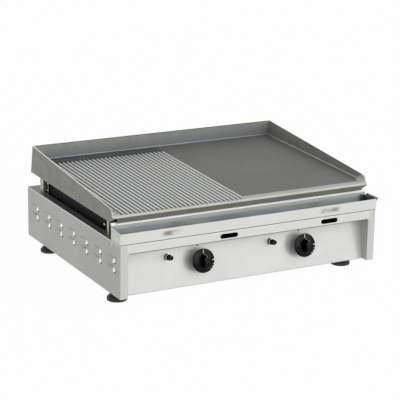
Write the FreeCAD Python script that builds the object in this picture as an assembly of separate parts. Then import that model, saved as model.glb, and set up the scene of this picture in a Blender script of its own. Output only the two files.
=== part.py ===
import FreeCAD, Part
import math
import os

# Flat top griddle: a half-ribbed steel plate with splash walls over two gas burners,
# in a folded stainless casing with a recessed control panel and a front drip tray.
#
# All sizes are millimetres, and all angles are degrees. The pieces are drawn in the
# casing's frame: x = 0 in the middle of its width, y = 0 on its front face and growing
# towards the back, z = 0 on its lower edge. place() then moves them so that the origin
# lies under the middle of the whole object, on the surface that its feet stand on.

# ---- Casing ----
casing_width = 600.0
casing_depth = 475.0
casing_height = 111.0
half_width = casing_width / 2
sheet = 1.2
bend = 0.8                    # inside radius of every fold
post_width = 17.5             # front corner posts, seen from the front
post_depth = 38.0
bottom_flange = 15.0
band_height = 20.0            # front band above the control panel
band_lap = 12.0               # how far the band's return lies over the panel's
band_slot_length = 41.0
band_slot_width = 10.0
band_slot_x = (-56.7, 183.5)
opening_flange = 17.0         # top flange left beside the burner opening
opening_front = 108.0
opening_rear = casing_depth - 63.0
opening_radius = 12.0
top_edge_radius = 0.9

# ---- Louvres in the side panels ----
louvre_columns = 7
louvre_margin = 41.9          # from the panel's ends to the middle of the first and last column
louvre_slits_z = (51.0, 70.0)
louvre_length = 35.0
louvre_rise = 9.5             # height of a hood above its slit
louvre_bulge = 4.5            # how far a hood stands out at its slit
louvre_wall = 1.1             # the hood's metal, thinned by the press

# ---- Control panel: its lower edge stands further forward ----
panel_tilt = 11.1             # degrees from upright
panel_bottom_y = 17.4         # front face at the lower edge
panel_drop = 1.2              # how far it reaches below the casing's lower edge
panel_bottom_return = 28.0
panel_top_return = 14.0
panel_lip = 10.0              # upturned edge behind the lower return

# ---- Base pan, rear panel and heat shield ----
pan_flange = 12.0
pan_slot_length = 150.0
pan_slot_width = 12.0
pan_slot_pitch = 210.0
pan_slot_rows = 2
pan_slot_columns = 2
vent_length = 110.0
vent_width = 8.0
vent_pitch_x = 142.0
vent_pitch_z = 19.2
vent_top = 30.0               # middle of the upper row, below the casing's top
vent_rows = 2
vent_columns = 3
shield_gap = 4.0              # all round, between the shield and the burner opening
shield_half_width = half_width - opening_flange - shield_gap
shield_front = opening_front + shield_gap
shield_rear = opening_rear - shield_gap
shield_top = casing_height + 27.0
shield_foot = 12.0

# ---- Levelling feet ----
foot_inset = 31.0
feet_y = (80.0, casing_depth - 49.0)
foot_height = 29.0
foot_radius = 21.0
foot_band = 6.5
foot_neck_radius = 13.0
foot_stem_radius = 8.5
foot_gap = 0.3                # between the foot's stem and the base pan
stud_radius = 4.0
stud_top = 22.0
nut_across_flats = 13.0
nut_height = 7.6

# ---- Griddle ----
wall = 4.0                    # splash wall thickness
griddle_front = 37.6
griddle_rear = casing_depth - 27.0       # rear wall's outer face at its top
wall_front_bottom = casing_height + 35.6
wall_rear_bottom = casing_height + 37.5
wall_front_height = casing_height + 64.1     # where the side walls' straight run starts
wall_front_run = 50.6
wall_rear_height = casing_height + 98.0
wall_lean = 10.0              # how far the rear wall's foot stands behind its top
wall_chamfer_run = 12.4       # cut-off lower front corner
wall_chamfer_rise = 8.4
wall_corner_radius = 3.0      # outer round of the rear corners
wall_nose_height = casing_height + 47.0      # where the side walls' rounded front starts
wall_nose_bow = 3.1           # how far that round stands off its chord
plate_thickness = 8.0
plate_front_height = casing_height + 52.0    # cooking surface at the front lip
plate_rear_height = casing_height + 64.8
plate_nose_radius = 7.0
cove_radius = 11.0            # hollow round where the front lip turns up into the walls
cove_foot = 0.4               # its thickness where it runs out on the plate
groove_count = 28
groove_pitch = 10.02
groove_first_x = -half_width + 22.6
groove_top_width = 6.4
groove_floor_width = 2.6
groove_depth = 2.6
groove_rear = griddle_rear - 40.0
groove_runout = 6.0
apron_thickness = 3.0
apron_setback = 2.0
apron_bottom = casing_height + 35.0
apron_left_notch = 12.0
apron_right_gap = 5.0
leg_size = 17.5               # both arms of a support leg's angle section
leg_thickness = 2.5
leg_inset = 10.5
legs_y = (70.0, opening_rear)
rest_gap = 0.3                # between the legs and the plate that rests on them

# ---- Drip tray ----
tray_gap = 0.4                # between the tray and the deck that it slides on
tray_front_height = casing_height + 23.7
tray_depth = 43.5
tray_lip_start = casing_height + 29.4        # where the rear wall starts to lean
tray_lip_height = casing_height + 34.5
tray_lip_lean = 2.6
spout_out = 6.5               # the right end's lip, turned outwards
spout_start = casing_height + 18.0
spout_top = casing_height + 24.5

# ---- Controls ----
knob_x = (-111.2, 129.3)
knob_z = 48.9
knob_radius = 25.0
knob_rim_out = 22.5           # rim's front edge, from the panel
knob_rim_thickness = 3.6
knob_edge = 1.0               # chamfer on both edges of the rim
knob_dome_out = 24.0
knob_hub_radius = 9.0
knob_hub_out = 5.0
grip_width = 12.8
grip_up = 15.0                # reach of the grip above the axis, at its foot
grip_down = 14.6
grip_top_slope = 4.5          # how much the upper end falls back towards the front
grip_draft = 1.2              # how much narrower and shorter the grip is at its front
grip_out = 40.5
stem_radius = 3.0
stem_flat = 2.2               # distance of the stem's flat from its axis
stem_tip_out = 15.0
stem_tail = 38.0
running_gap = 0.05            # radial play of turning and sliding shafts
rotor_radius = 5.0
rotor_rear = 30.0
rotor_front = 6.0
tap_radius = 12.0
tap_neck_radius = 8.0
tap_neck_length = 13.0
tap_length = 46.0
tap_hole_radius = 5.6
tap_port_width = 13.0
tap_port_rise = 2.0
push_travel = 3.5
igniter_offset = -70.3        # igniter's place from its knob
igniter_z = 63.4
igniter_nut_radius = 7.5
igniter_nut_out = 5.5
igniter_ring_radius = 6.2
igniter_ring_out = 10.0
igniter_barrel_radius = 5.5
igniter_barrel_length = 34.0
button_radius = 4.7
button_out = 20.0
button_root = 2.0
button_edge = 1.2
button_travel = 5.0
over_travel = 1.0             # room left behind a fully pushed button or stem

# ---- Gas parts ----
manifold_radius = 9.0
manifold_y = 60.0
manifold_z = 24.0
manifold_half_length = 205.0
pipe_radius = 6.0
pipe_bend = 20.0
pipe_run_x = half_width - 12.0
pipe_rear_y = casing_depth - 29.0
inlet_x = half_width - 60.0
inlet_thread_radius = 10.48
inlet_thread_length = 18.0
inlet_flange_radius = 15.0
inlet_flange_thickness = 4.0
inlet_shank_radius = 8.0
inlet_bore_radius = 5.0
burner_z = casing_height - 19.0
burner_tube_radius = 11.0
burner_tube_wall = 1.5
burner_link_radius = 10.0
burner_mixing_radius = 9.0
burner_spread = 40.0
burner_front = shield_front + 18.0
burner_rear = shield_rear - 13.0
burner_cross_y = 235.0
burner_mouth_y = shield_front - 20.0
burner_mouth_radius = 15.0
burner_mouth_length = 14.0
burner_mouth_depth = 34.0
burner_slots = 4
burner_slot_width = 1.6
burner_slot_depth = 2.5
support_bars_y = (shield_front + 38.0, shield_rear - 28.0)
support_bar_size = 20.0
support_bar_thickness = 2.0
injector_radius = 4.0
injector_block = 12.0         # square elbow between the riser and the nozzle
injector_tap_depth = 38.0
nozzle_radius = 5.5
nozzle_length = 11.0
nozzle_gap = 4.0
probe_offset = 18.0           # electrode and thermocouple, left and right of the burner tube
probe_height = 26.0
electrode_radius = 3.5
thermocouple_radius = 2.5

Vector = FreeCAD.Vector
X = Vector(1, 0, 0)
Y = Vector(0, 1, 0)
Z = Vector(0, 0, 1)
tilt = math.radians(panel_tilt)
band_bottom = casing_height - band_height
past = 1.0                    # how far a cutter reaches past what it cuts


# ---- Shape helpers ----

def box(x0, x1, y0, y1, z0, z1):
    """A box given by its two ends along each axis."""
    return Part.makeBox(x1 - x0, y1 - y0, z1 - z0, Vector(x0, y0, z0))


def yz(u, v):
    """A point of a profile drawn looking along x: u is y, v is z."""
    return Vector(0, u, v)


def xz(u, v):
    """A point of a profile drawn looking along y: u is x, v is z."""
    return Vector(u, 0, v)


def xy(u, v):
    """A point of a profile drawn looking down: u is x, v is y."""
    return Vector(u, v, 0)


def polygon(points, plane):
    """A flat face with straight sides through the points."""
    corners = [plane(u, v) for u, v in points]
    return Part.Face(Part.makePolygon(corners + corners[:1]))


def fold_line(points, offset, plane):
    """The wire that runs at one distance to the left of a folded sheet's path.

    Each corner of the path becomes an arc. All the arcs of one corner share a centre,
    whose distance keeps the inside radius at `bend`, whichever way the corner turns.
    """
    edges = []
    last = Vector(points[0][0], points[0][1], 0)
    start = None
    for i in range(1, len(points)):
        here = Vector(points[i][0], points[i][1], 0)
        along = (here - last).normalize()
        normal = Vector(-along.y, along.x, 0)
        if start is None:
            start = last + normal * offset
        if i == len(points) - 1:
            edges.append(Part.LineSegment(plane(start.x, start.y), plane(*(here + normal * offset)[:2])))
            break
        after = (Vector(points[i + 1][0], points[i + 1][1], 0) - here).normalize()
        after_normal = Vector(-after.y, after.x, 0)
        turn = 1 if along.cross(after).z > 0 else -1
        reach = bend + sheet if turn > 0 else bend
        both = normal + after_normal
        centre = here + both * (turn * reach / (1 + normal.dot(after_normal)))
        radius = turn * (reach - turn * offset)
        enter = centre - normal * radius
        middle = centre - both.normalize() * radius
        leave = centre - after_normal * radius
        edges.append(Part.LineSegment(plane(start.x, start.y), plane(enter.x, enter.y)))
        edges.append(Part.Arc(plane(enter.x, enter.y), plane(middle.x, middle.y), plane(leave.x, leave.y)))
        start = leave
        last = here
    return Part.Wire([edge.toShape() for edge in edges])


def folded(points, plane, length):
    """Sheet metal folded along a path, its thickness to the left, drawn out by a vector."""
    near = fold_line(points, 0.0, plane)
    far = fold_line(points, sheet, plane)
    ends = [
        Part.makeLine(near.OrderedVertexes[0].Point, far.OrderedVertexes[0].Point),
        Part.makeLine(near.OrderedVertexes[-1].Point, far.OrderedVertexes[-1].Point),
    ]
    outline = Part.Wire(Part.sortEdges(near.Edges + far.Edges + ends)[0])
    return Part.Face(outline).extrude(length)


def stadium(centre, long_way, side, length, width):
    """A wire with two straight sides and round ends."""
    reach = long_way * (length - width) / 2
    cap = long_way * length / 2
    across = side * width / 2
    corners = [
        centre - reach - across,
        centre + reach - across,
        centre + reach + across,
        centre - reach + across,
    ]
    return Part.Wire([
        Part.makeLine(corners[0], corners[1]),
        Part.Arc(corners[1], centre + cap, corners[2]).toShape(),
        Part.makeLine(corners[2], corners[3]),
        Part.Arc(corners[3], centre - cap, corners[0]).toShape(),
    ])


def slot(centre, long_way, through, length, width, depth):
    """A cutter with round ends, centred on a point, drawn both ways along `through`."""
    start = centre - through * depth / 2
    outline = stadium(start, long_way, long_way.cross(through), length, width)
    return Part.Face(outline).extrude(through * depth)


def rounded_rectangle(x0, x1, y0, y1, radius, z0, z1):
    """A block with upright rounded corners."""
    block = box(x0, x1, y0, y1, z0, z1)
    upright = [e for e in block.Edges if abs(e.tangentAt(0).z) > 0.9]
    return block.makeFillet(radius, upright)


def revolved(points, axis_point=Vector(0, 0, 0), axis=Z):
    """A turned piece from (radius, height) points, about Z unless told otherwise."""
    turned = polygon(points, xz).revolve(Vector(0, 0, 0), Z, 360)
    turned.Placement = FreeCAD.Placement(axis_point, FreeCAD.Rotation(Z, axis))
    return turned


def hexagon(across_flats, height):
    """A hexagonal block standing on z = 0."""
    radius = across_flats / math.sqrt(3)
    angles = [math.radians(60 * k) for k in range(6)]
    corners = [(radius * math.cos(angle), radius * math.sin(angle)) for angle in angles]
    return polygon(corners, xy).extrude(Z * height)


def pipe(points, radius, bend_radius):
    """A round bar along straight runs joined by tangent arcs."""
    runs = []
    start = points[0]
    for before, here, after in zip(points, points[1:], points[2:]):
        into = (here - before).normalize()
        out = (after - here).normalize()
        turn = into.getAngle(out)
        cut = bend_radius * math.tan(turn / 2)
        enter = here - into * cut
        axis = into.cross(out).normalize()
        centre = enter + axis.cross(into) * bend_radius
        ring = Part.Face(Part.Wire(Part.makeCircle(radius, enter, into)))
        runs.append(Part.makeCylinder(radius, (enter - start).Length, start, into))
        runs.append(ring.revolve(centre, axis, math.degrees(turn)))
        start = here + out * cut
    last = points[-1] - start
    runs.append(Part.makeCylinder(radius, last.Length, start, last))
    return runs[0].fuse(runs[1:])


def mirrored(shape):
    """The same piece for the other side of the casing."""
    return shape.mirror(Vector(0, 0, 0), X)


def panel_y(z):
    """Where the control panel's front face lies at a height."""
    return panel_bottom_y + (z + panel_drop) * math.tan(tilt)


def on_panel(shape, x, z):
    """Places a piece drawn with z out of the control panel and y up along it."""
    moved = shape.copy()
    turn = FreeCAD.Rotation(X, 90 - panel_tilt)
    moved.Placement = FreeCAD.Placement(Vector(x, panel_y(z), z), turn).multiply(shape.Placement)
    return moved


def wall_rear(z):
    """Outer face of the leaning rear wall at one height."""
    return griddle_rear + wall_lean * (wall_rear_height - z) / (wall_rear_height - wall_rear_bottom)


def plate_rise():
    """Rise of the cooking surface for each millimetre towards the rear."""
    run = wall_rear(plate_rear_height) - wall - griddle_front - plate_nose_radius
    return (plate_rear_height - plate_front_height) / run


def plate_top(y):
    """Height of the cooking surface."""
    return plate_front_height + (y - griddle_front - plate_nose_radius) * plate_rise()


def plate_end(sink):
    """Where a plane that lies `sink` below the cooking surface meets the leaning rear wall."""
    lean = wall_lean / (wall_rear_height - wall_rear_bottom)
    z = plate_rear_height - sink / (1 + lean * plate_rise())
    return yz(wall_rear(z) - wall, z)


# ---- Casing ----

def louvre(y, z):
    """One pressed hood of the left side panel: its metal, and the slit and hollow behind it.

    The hood slopes straight out from the sheet to louvre_bulge at its slit. A quarter
    cone of the same slope closes each end.
    """
    half_run = louvre_length / 2 - louvre_bulge
    near = Vector(-half_width, y - half_run, z)
    far = Vector(-half_width, y + half_run, z)
    run = far - near

    def section(reach, height, behind):
        corners = [
            near - X * reach,
            near + Z * height,
            near + Z * height + X * behind,
            near + X * behind,
        ]
        return Part.Face(Part.makePolygon(corners + corners[:1]))

    face = Part.Face(Part.makePolygon([near, near - X * louvre_bulge, near + Z * louvre_rise, near]))
    near_end = face.revolve(near, Z, 90)
    far_end = face.translated(run).revolve(far, Z, -90)
    metal = face.extrude(run).fuse([near_end, far_end])
    slope = louvre_rise / louvre_bulge
    reach = louvre_bulge - louvre_wall
    hollow = section(reach, slope * reach, sheet + past).extrude(run)
    return metal, hollow


def side_panel():
    """The left side panel: a side with louvres, a front post and a lower flange."""
    inner = -half_width + post_width
    path = [
        (-half_width, casing_depth),
        (-half_width, 0),
        (inner, 0),
        (inner, post_depth),
    ]
    panel = folded(path, xy, Z * (casing_height - sheet))
    flange = box(-half_width + sheet / 2, -half_width + bottom_flange,
                 pan_front(), casing_depth - sheet, 0, sheet)
    pitch = (casing_depth - 2 * louvre_margin) / (louvre_columns - 1)
    columns = [louvre_margin + k * pitch for k in range(louvre_columns)]
    louvres = [louvre(y, z) for y in columns for z in louvre_slits_z]
    panel = panel.fuse([flange] + [metal for metal, hollow in louvres])
    return panel.cut([hollow for metal, hollow in louvres]).removeSplitter()


def pan_front():
    """Front of the base pan: the back of the control panel's upturned lip."""
    return panel_bottom_y + panel_bottom_return


def band_slots(y):
    """Cutters of the lighting slots, which run through the band and the shield behind it."""
    middle = casing_height - band_height / 2
    return [slot(Vector(x, y, middle), X, Y, band_slot_length, band_slot_width, 4 * sheet)
            for x in band_slot_x]


def top_frame():
    """The casing's top with its opening, and the front band folded down from it."""
    low = casing_height - sheet
    deck = box(-half_width, half_width, 0, casing_depth, low, casing_height)
    rim = [e for e in deck.Edges if e.BoundBox.ZMin > low + sheet / 2]
    deck = deck.makeFillet(top_edge_radius, rim)
    opening_x = half_width - opening_flange
    opening = rounded_rectangle(-opening_x, opening_x, opening_front, opening_rear, opening_radius,
                                low - sheet, casing_height + sheet)
    inner = half_width - post_width
    path = [(0, low), (0, band_bottom), (panel_y(band_bottom) + band_lap, band_bottom)]
    band = folded(path, lambda u, v: Vector(-inner, u, v), X * (2 * inner))
    return deck.cut(opening).fuse(band).cut(band_slots(0)).removeSplitter()


def control_panel():
    """The tilted front sheet with holes for the taps and igniters."""
    inner = half_width - post_width
    path = [
        (panel_y(band_bottom) + panel_top_return, band_bottom),
        (panel_y(band_bottom), band_bottom),
        (panel_bottom_y, -panel_drop),
        (pan_front(), -panel_drop),
        (pan_front(), panel_lip),
    ]
    panel = folded(path, lambda u, v: Vector(-inner, u, v), X * (2 * inner))
    depth = sheet + 2 * past
    back = Z * (-sheet - past)
    holes = []
    for x in knob_x:
        tap_hole = Part.makeCylinder(tap_hole_radius, depth, back)
        igniter_hole = Part.makeCylinder(igniter_barrel_radius, depth, back)
        holes.append(on_panel(tap_hole, x, knob_z))
        holes.append(on_panel(igniter_hole, x + igniter_offset, igniter_z))
    return panel.cut(holes)


def rear_panel():
    """The upright back sheet with vent slots and the gas inlet's hole."""
    inner = half_width - sheet
    panel = box(-inner, inner, casing_depth - sheet, casing_depth, 0, casing_height - sheet)
    inside = Vector(inlet_x, casing_depth - 2 * sheet, manifold_z)
    cuts = [Part.makeCylinder(inlet_shank_radius, 4 * sheet, inside, Y)]
    for column in range(vent_columns):
        for row in range(vent_rows):
            x = (column - (vent_columns - 1) / 2) * vent_pitch_x
            z = casing_height - vent_top - row * vent_pitch_z
            cuts.append(box(x - vent_length / 2, x + vent_length / 2, casing_depth - sheet - past,
                            casing_depth + past, z - vent_width / 2, z + vent_width / 2))
    return panel.cut(cuts)


def foot_places():
    """Name and place of each foot."""
    x = half_width - foot_inset
    return [
        ("front_left", -x, feet_y[0]),
        ("front_right", x, feet_y[0]),
        ("rear_left", -x, feet_y[1]),
        ("rear_right", x, feet_y[1]),
    ]


def base_pan():
    """The casing's floor: a shallow pan with air slots and the holes of the studs."""
    outer = half_width - sheet
    front = pan_front()
    rear = casing_depth - sheet
    pan = box(-outer, outer, front, rear, sheet, sheet + pan_flange)
    pan = pan.cut(box(-outer + sheet, outer - sheet, front + sheet, rear - sheet, 2 * sheet, 2 * pan_flange))
    cuts = [Part.makeCylinder(stud_radius + running_gap, 4 * sheet, Vector(x, y, 0))
            for name, x, y in foot_places()]
    step_y = (shield_rear - shield_front) / (pan_slot_rows + 1)
    for column in range(pan_slot_columns):
        for row in range(pan_slot_rows):
            x = (column - (pan_slot_columns - 1) / 2) * pan_slot_pitch
            y = shield_front + (row + 1) * step_y
            cuts.append(box(x - pan_slot_length / 2, x + pan_slot_length / 2,
                            y - pan_slot_width / 2, y + pan_slot_width / 2, 0, 2 * sheet + past))
    return pan.cut(cuts)


def heat_shield():
    """The dark inner box round the burners, open above, standing on the base pan."""
    low = 2 * sheet

    def block(margin, bottom, top):
        x = shield_half_width - margin
        return box(-x, x, shield_front + margin, shield_rear - margin, bottom, top)

    shield = block(0, low, shield_top)
    inside = block(sheet, low + sheet, shield_top + past)
    below = block(shield_foot, 0, low + sheet + past)
    holes = [Part.makeCylinder(burner_mixing_radius + running_gap, 4 * sheet,
                               Vector(x, shield_front - sheet, burner_z), Y) for x in knob_x]
    return shield.cut([inside, below] + holes + band_slots(shield_front))


# ---- Feet ----

def foot(x, y):
    """The moulded foot: a broad pad, a shoulder and a stem, with the stud's socket."""
    shoulder = foot_radius - foot_neck_radius
    profile = [
        (0, -foot_height),
        (foot_radius, -foot_height),
        (foot_radius, -foot_height + foot_band),
        (foot_neck_radius, -foot_height + foot_band + shoulder),
        (foot_stem_radius, -foot_height + foot_band + shoulder),
        (foot_stem_radius, sheet - foot_gap),
        (0, sheet - foot_gap),
    ]
    socket = Part.makeCylinder(stud_radius, 2 * foot_height, Vector(0, 0, -foot_height + foot_band))
    return revolved(profile).cut(socket).translated(Vector(x, y, 0))


def foot_stud(x, y):
    """The steel stud that screws the foot up and down in its nut."""
    low = -foot_height + foot_band
    return Part.makeCylinder(stud_radius, stud_top - low, Vector(x, y, low))


def foot_nuts():
    """The four weld nuts on the base pan."""
    bore = Part.makeCylinder(stud_radius + running_gap, nut_height)
    nut = hexagon(nut_across_flats, nut_height).cut(bore)
    return Part.makeCompound([nut.translated(Vector(x, y, 2 * sheet)) for name, x, y in foot_places()])


# ---- Griddle ----

def plate_profile(extra):
    """Side view of the plate with its rounded nose, `extra` thicker underneath."""
    nose_end = griddle_front + plate_nose_radius
    nose_low = plate_front_height - plate_nose_radius
    half_way = plate_nose_radius * math.sqrt(0.5)
    crown = yz(nose_end - half_way, nose_low + half_way)
    low = plate_thickness + extra
    front_foot = yz(griddle_front, plate_top(griddle_front) - low)
    edges = [
        Part.Arc(yz(griddle_front, nose_low), crown, yz(nose_end, plate_front_height)).toShape(),
        Part.makeLine(yz(nose_end, plate_front_height), plate_end(0)),
        Part.makeLine(plate_end(0), plate_end(low)),
        Part.makeLine(plate_end(low), front_foot),
        Part.makeLine(front_foot, yz(griddle_front, nose_low)),
    ]
    return Part.Face(Part.Wire(edges))


def groove():
    """The cutter of one groove, with its run-out at the rear, centred on x = 0."""
    rear_end = groove_rear - groove_runout

    def section(y, sink):
        top = plate_top(y) + past
        floor = plate_top(y) - groove_depth + sink
        slope = (groove_top_width - groove_floor_width) / 2 / groove_depth
        wide = groove_top_width / 2 + slope * past
        narrow = groove_floor_width / 2 + slope * sink
        corners = [
            Vector(-wide, y, top),
            Vector(wide, y, top),
            Vector(narrow, y, floor),
            Vector(-narrow, y, floor),
        ]
        return Part.makePolygon(corners + corners[:1])

    straight = Part.makeLoft([section(griddle_front - past, 0), section(rear_end, 0)], True, True)
    runout = Part.makeLoft([section(rear_end, 0), section(groove_rear, groove_depth)], True, True)
    return straight.fuse(runout)


def griddle_plate():
    """The sloped cooking plate: ribbed on the left, smooth on the right."""
    inner = half_width - wall
    plate = plate_profile(0).extrude(X * (2 * inner)).translated(X * -inner)
    cutter = groove()
    places = [groove_first_x + k * groove_pitch for k in range(groove_count)]
    return plate.cut([cutter.translated(X * x) for x in places])


def lip_cove():
    """The left hollow round where the plate's front lip turns up into the wall."""
    left = -half_width + wall
    top = plate_front_height + cove_radius
    block = box(left, left + cove_radius, griddle_front, wall_front_run + cove_radius,
                plate_front_height - plate_nose_radius, top)
    middle = Vector(left + cove_radius, 0, top + cove_foot)
    hollow = Part.makeCylinder(cove_radius, casing_depth, middle, Y)
    plate = plate_profile(0).extrude(X * casing_width).translated(X * -half_width)
    return block.cut([hollow, plate])


def wall_block():
    """The space the splash wall's outer faces enclose, with its two rear corners rounded."""
    nose = yz(griddle_front, wall_nose_height)
    shoulder = yz(wall_front_run, wall_front_height)
    off_chord = X.cross(shoulder - nose).normalize() * wall_nose_bow
    corners = [
        shoulder,
        yz(griddle_rear, wall_rear_height),
        yz(griddle_rear + wall_lean, wall_rear_bottom),
        yz(griddle_front + wall_chamfer_run, wall_front_bottom),
        yz(griddle_front, wall_front_bottom + wall_chamfer_rise),
        nose,
    ]
    rounded_front = Part.Arc(nose, (nose + shoulder) / 2 + off_chord, shoulder).toShape()
    outline = Part.Wire([rounded_front] + Part.makePolygon(corners).Edges)
    block = Part.Face(outline).extrude(X * casing_width).translated(X * -half_width)
    rear = [e for e in block.Edges if e.BoundBox.YMin > griddle_rear - past and e.BoundBox.ZLength > past]
    return block.makeFillet(wall_corner_radius, rear)


def splash_wall():
    """The wall round three sides: its top falls towards the front, its rear leans backward."""
    inner = half_width - wall
    low = wall_front_bottom - past
    tall = wall_rear_height + past
    well = [
        (0, low),
        (wall_rear(low) - wall, low),
        (wall_rear(tall) - wall, tall),
        (0, tall),
    ]
    hollow = polygon(well, yz).extrude(X * (2 * inner)).translated(X * -inner)
    block = wall_block()
    cove = lip_cove()
    return block.cut(hollow).fuse([cove, mirrored(cove)]).common(block)


def front_apron():
    """The strip welded under the plate's front lip."""
    left = -half_width + apron_left_notch
    right = half_width - wall - apron_right_gap / 2
    front = griddle_front + apron_setback
    top = plate_top(front) - plate_thickness
    back_top = plate_top(front + apron_thickness) - plate_thickness
    profile = [
        (front, apron_bottom),
        (front, top),
        (front + apron_thickness, back_top),
        (front + apron_thickness, apron_bottom),
    ]
    strip = polygon(profile, yz).extrude(X * (right - left)).translated(X * left)
    slant = polygon([(right - apron_right_gap, apron_bottom), (right, apron_bottom), (right, back_top)], xz)
    return strip.cut(slant.extrude(Y * casing_depth))


def support_leg(x_side, y):
    """An angle section between the casing's top and the plate's underside."""
    left = -half_width + leg_inset
    rear = y + leg_size
    along = box(left, left + leg_thickness, y, rear, casing_height, plate_rear_height)
    across = box(left, left + leg_size, rear - leg_thickness, rear, casing_height, plate_rear_height)
    above = plate_profile(rest_gap).extrude(X * casing_width).translated(X * -half_width)
    leg = along.fuse(across).removeSplitter().cut(above)
    leg = min(leg.Solids, key=lambda s: s.BoundBox.ZMin)
    return leg if x_side < 0 else mirrored(leg)


# ---- Drip tray ----

def drip_tray():
    """The grease channel: a folded trough with a leaning rear lip and an outward spout lip."""
    low = casing_height + tray_gap
    lip_y = tray_depth + tray_lip_lean
    path = [
        (lip_y, tray_lip_height),
        (tray_depth, tray_lip_start),
        (tray_depth, low),
        (0, low),
        (0, tray_front_height),
    ]
    trough = folded(path[::-1], lambda u, v: Vector(-half_width, u, v), X * casing_width)
    middle = sheet / 2
    filling = [
        (middle, low + middle),
        (tray_depth - middle, low + middle),
        (tray_depth - middle, tray_lip_start),
        (middle, tray_front_height),
    ]
    left_end = polygon(filling, yz).extrude(X * sheet).translated(X * -half_width)
    spout_path = [
        (half_width, low + sheet),
        (half_width, spout_start),
        (half_width + spout_out, spout_top),
    ]
    spout = folded(spout_path, xz, Y * tray_depth)
    return trough.fuse([left_end, spout]).removeSplitter()


# ---- Controls ----

def d_shaft(radius, flat, start, end):
    """A round shaft with one flat, along z from start to end."""
    shaft = Part.makeCylinder(radius, end - start, Z * start)
    reach = radius + past
    return shaft.cut(box(-reach, reach, flat, reach, start - past, end + past))


def knob():
    """A skirted knob with a tall upright grip, drawn on its axis."""
    rim_back = knob_rim_out - knob_rim_thickness
    profile = [
        (0, knob_hub_out),
        (knob_hub_radius, knob_hub_out),
        (knob_hub_radius, rim_back - knob_rim_thickness),
        (knob_radius - knob_edge, rim_back),
        (knob_radius, rim_back + knob_edge),
        (knob_radius, knob_rim_out - knob_edge),
        (knob_radius - knob_edge, knob_rim_out),
        (grip_width, knob_dome_out),
        (0, knob_dome_out),
    ]

    def grip_section(up, down, width, out):
        return stadium(Vector(0, (up - down) / 2, out), Y, X, up + down, width)

    grip = Part.makeLoft([
        grip_section(grip_up, grip_down, grip_width, knob_rim_out),
        grip_section(grip_up - grip_top_slope, grip_down - grip_draft, grip_width - grip_draft, grip_out),
    ], True, True)
    socket = d_shaft(stem_radius, stem_flat, knob_hub_out - past, stem_tip_out)
    return revolved(profile).fuse(grip).cut(socket)


def tap_stem():
    """The flatted stem that carries the knob and slides through the rotor."""
    return d_shaft(stem_radius, stem_flat, -stem_tail, stem_tip_out)


def tap_rotor():
    """The turning plug of the tap, driven by the stem's flat."""
    rotor = Part.makeCylinder(rotor_radius, rotor_rear - rotor_front, Z * -rotor_rear)
    gap = running_gap
    return rotor.cut(d_shaft(stem_radius + gap, stem_flat + gap, -rotor_rear - past, 0))


def tap_body(x):
    """The tap's barrel and neck behind the panel, saddled on the manifold."""
    barrel = Part.makeCylinder(tap_radius, tap_length - tap_neck_length - sheet, Z * -tap_length)
    neck = Part.makeCylinder(tap_neck_radius, tap_neck_length, Z * (-sheet - tap_neck_length))
    plug_bore = Part.makeCylinder(rotor_radius + running_gap, rotor_rear - rotor_front, Z * -rotor_rear)
    stem_end = Z * (-stem_tail - push_travel - over_travel)
    stem_bore = Part.makeCylinder(stem_radius + running_gap, tap_length, stem_end)
    tap = on_panel(barrel.fuse(neck), x, knob_z)
    half = tap_port_width / 2
    inlet = box(x - half, x + half, manifold_y - half, manifold_y + half, manifold_z, knob_z - half)
    outlet_y = injector_foot_y()
    outlet = box(x - half, x + half, outlet_y - half, outlet_y + half, knob_z - half, tap_outlet_z())
    bores = on_panel(plug_bore.fuse(stem_bore), x, knob_z)
    return tap.fuse([inlet, outlet]).cut([bores, manifold()])


def igniter_body():
    """The piezo igniter's barrel, nut and front ring, bored for its button."""
    profile = [
        (0, -igniter_barrel_length),
        (igniter_barrel_radius, -igniter_barrel_length),
        (igniter_barrel_radius, 0),
        (igniter_nut_radius, 0),
        (igniter_nut_radius, igniter_nut_out),
        (igniter_ring_radius, igniter_nut_out),
        (igniter_ring_radius, igniter_ring_out),
        (0, igniter_ring_out),
    ]
    depth = button_root - button_travel - over_travel
    bore = Part.makeCylinder(button_radius + running_gap, igniter_ring_out + past - depth, Z * depth)
    return revolved(profile).cut(bore)


def igniter_button():
    """The push button, with a chamfered end."""
    profile = [
        (0, button_root),
        (button_radius, button_root),
        (button_radius, button_out - button_edge),
        (button_radius - button_edge, button_out),
        (0, button_out),
    ]
    return revolved(profile)


# ---- Gas parts ----

def manifold():
    """The gas rail behind the control panel, closed at its left end."""
    start = Vector(-manifold_half_length, manifold_y, manifold_z)
    return Part.makeCylinder(manifold_radius, 2 * manifold_half_length, start, X)


def supply_pipe():
    """The pipe from the rear inlet round the heat shield to the rail."""
    return pipe([
        Vector(manifold_half_length, manifold_y, manifold_z),
        Vector(pipe_run_x, manifold_y, manifold_z),
        Vector(pipe_run_x, pipe_rear_y, manifold_z),
        Vector(inlet_x + 2 * inlet_shank_radius, pipe_rear_y, manifold_z),
    ], pipe_radius, pipe_bend)


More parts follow.
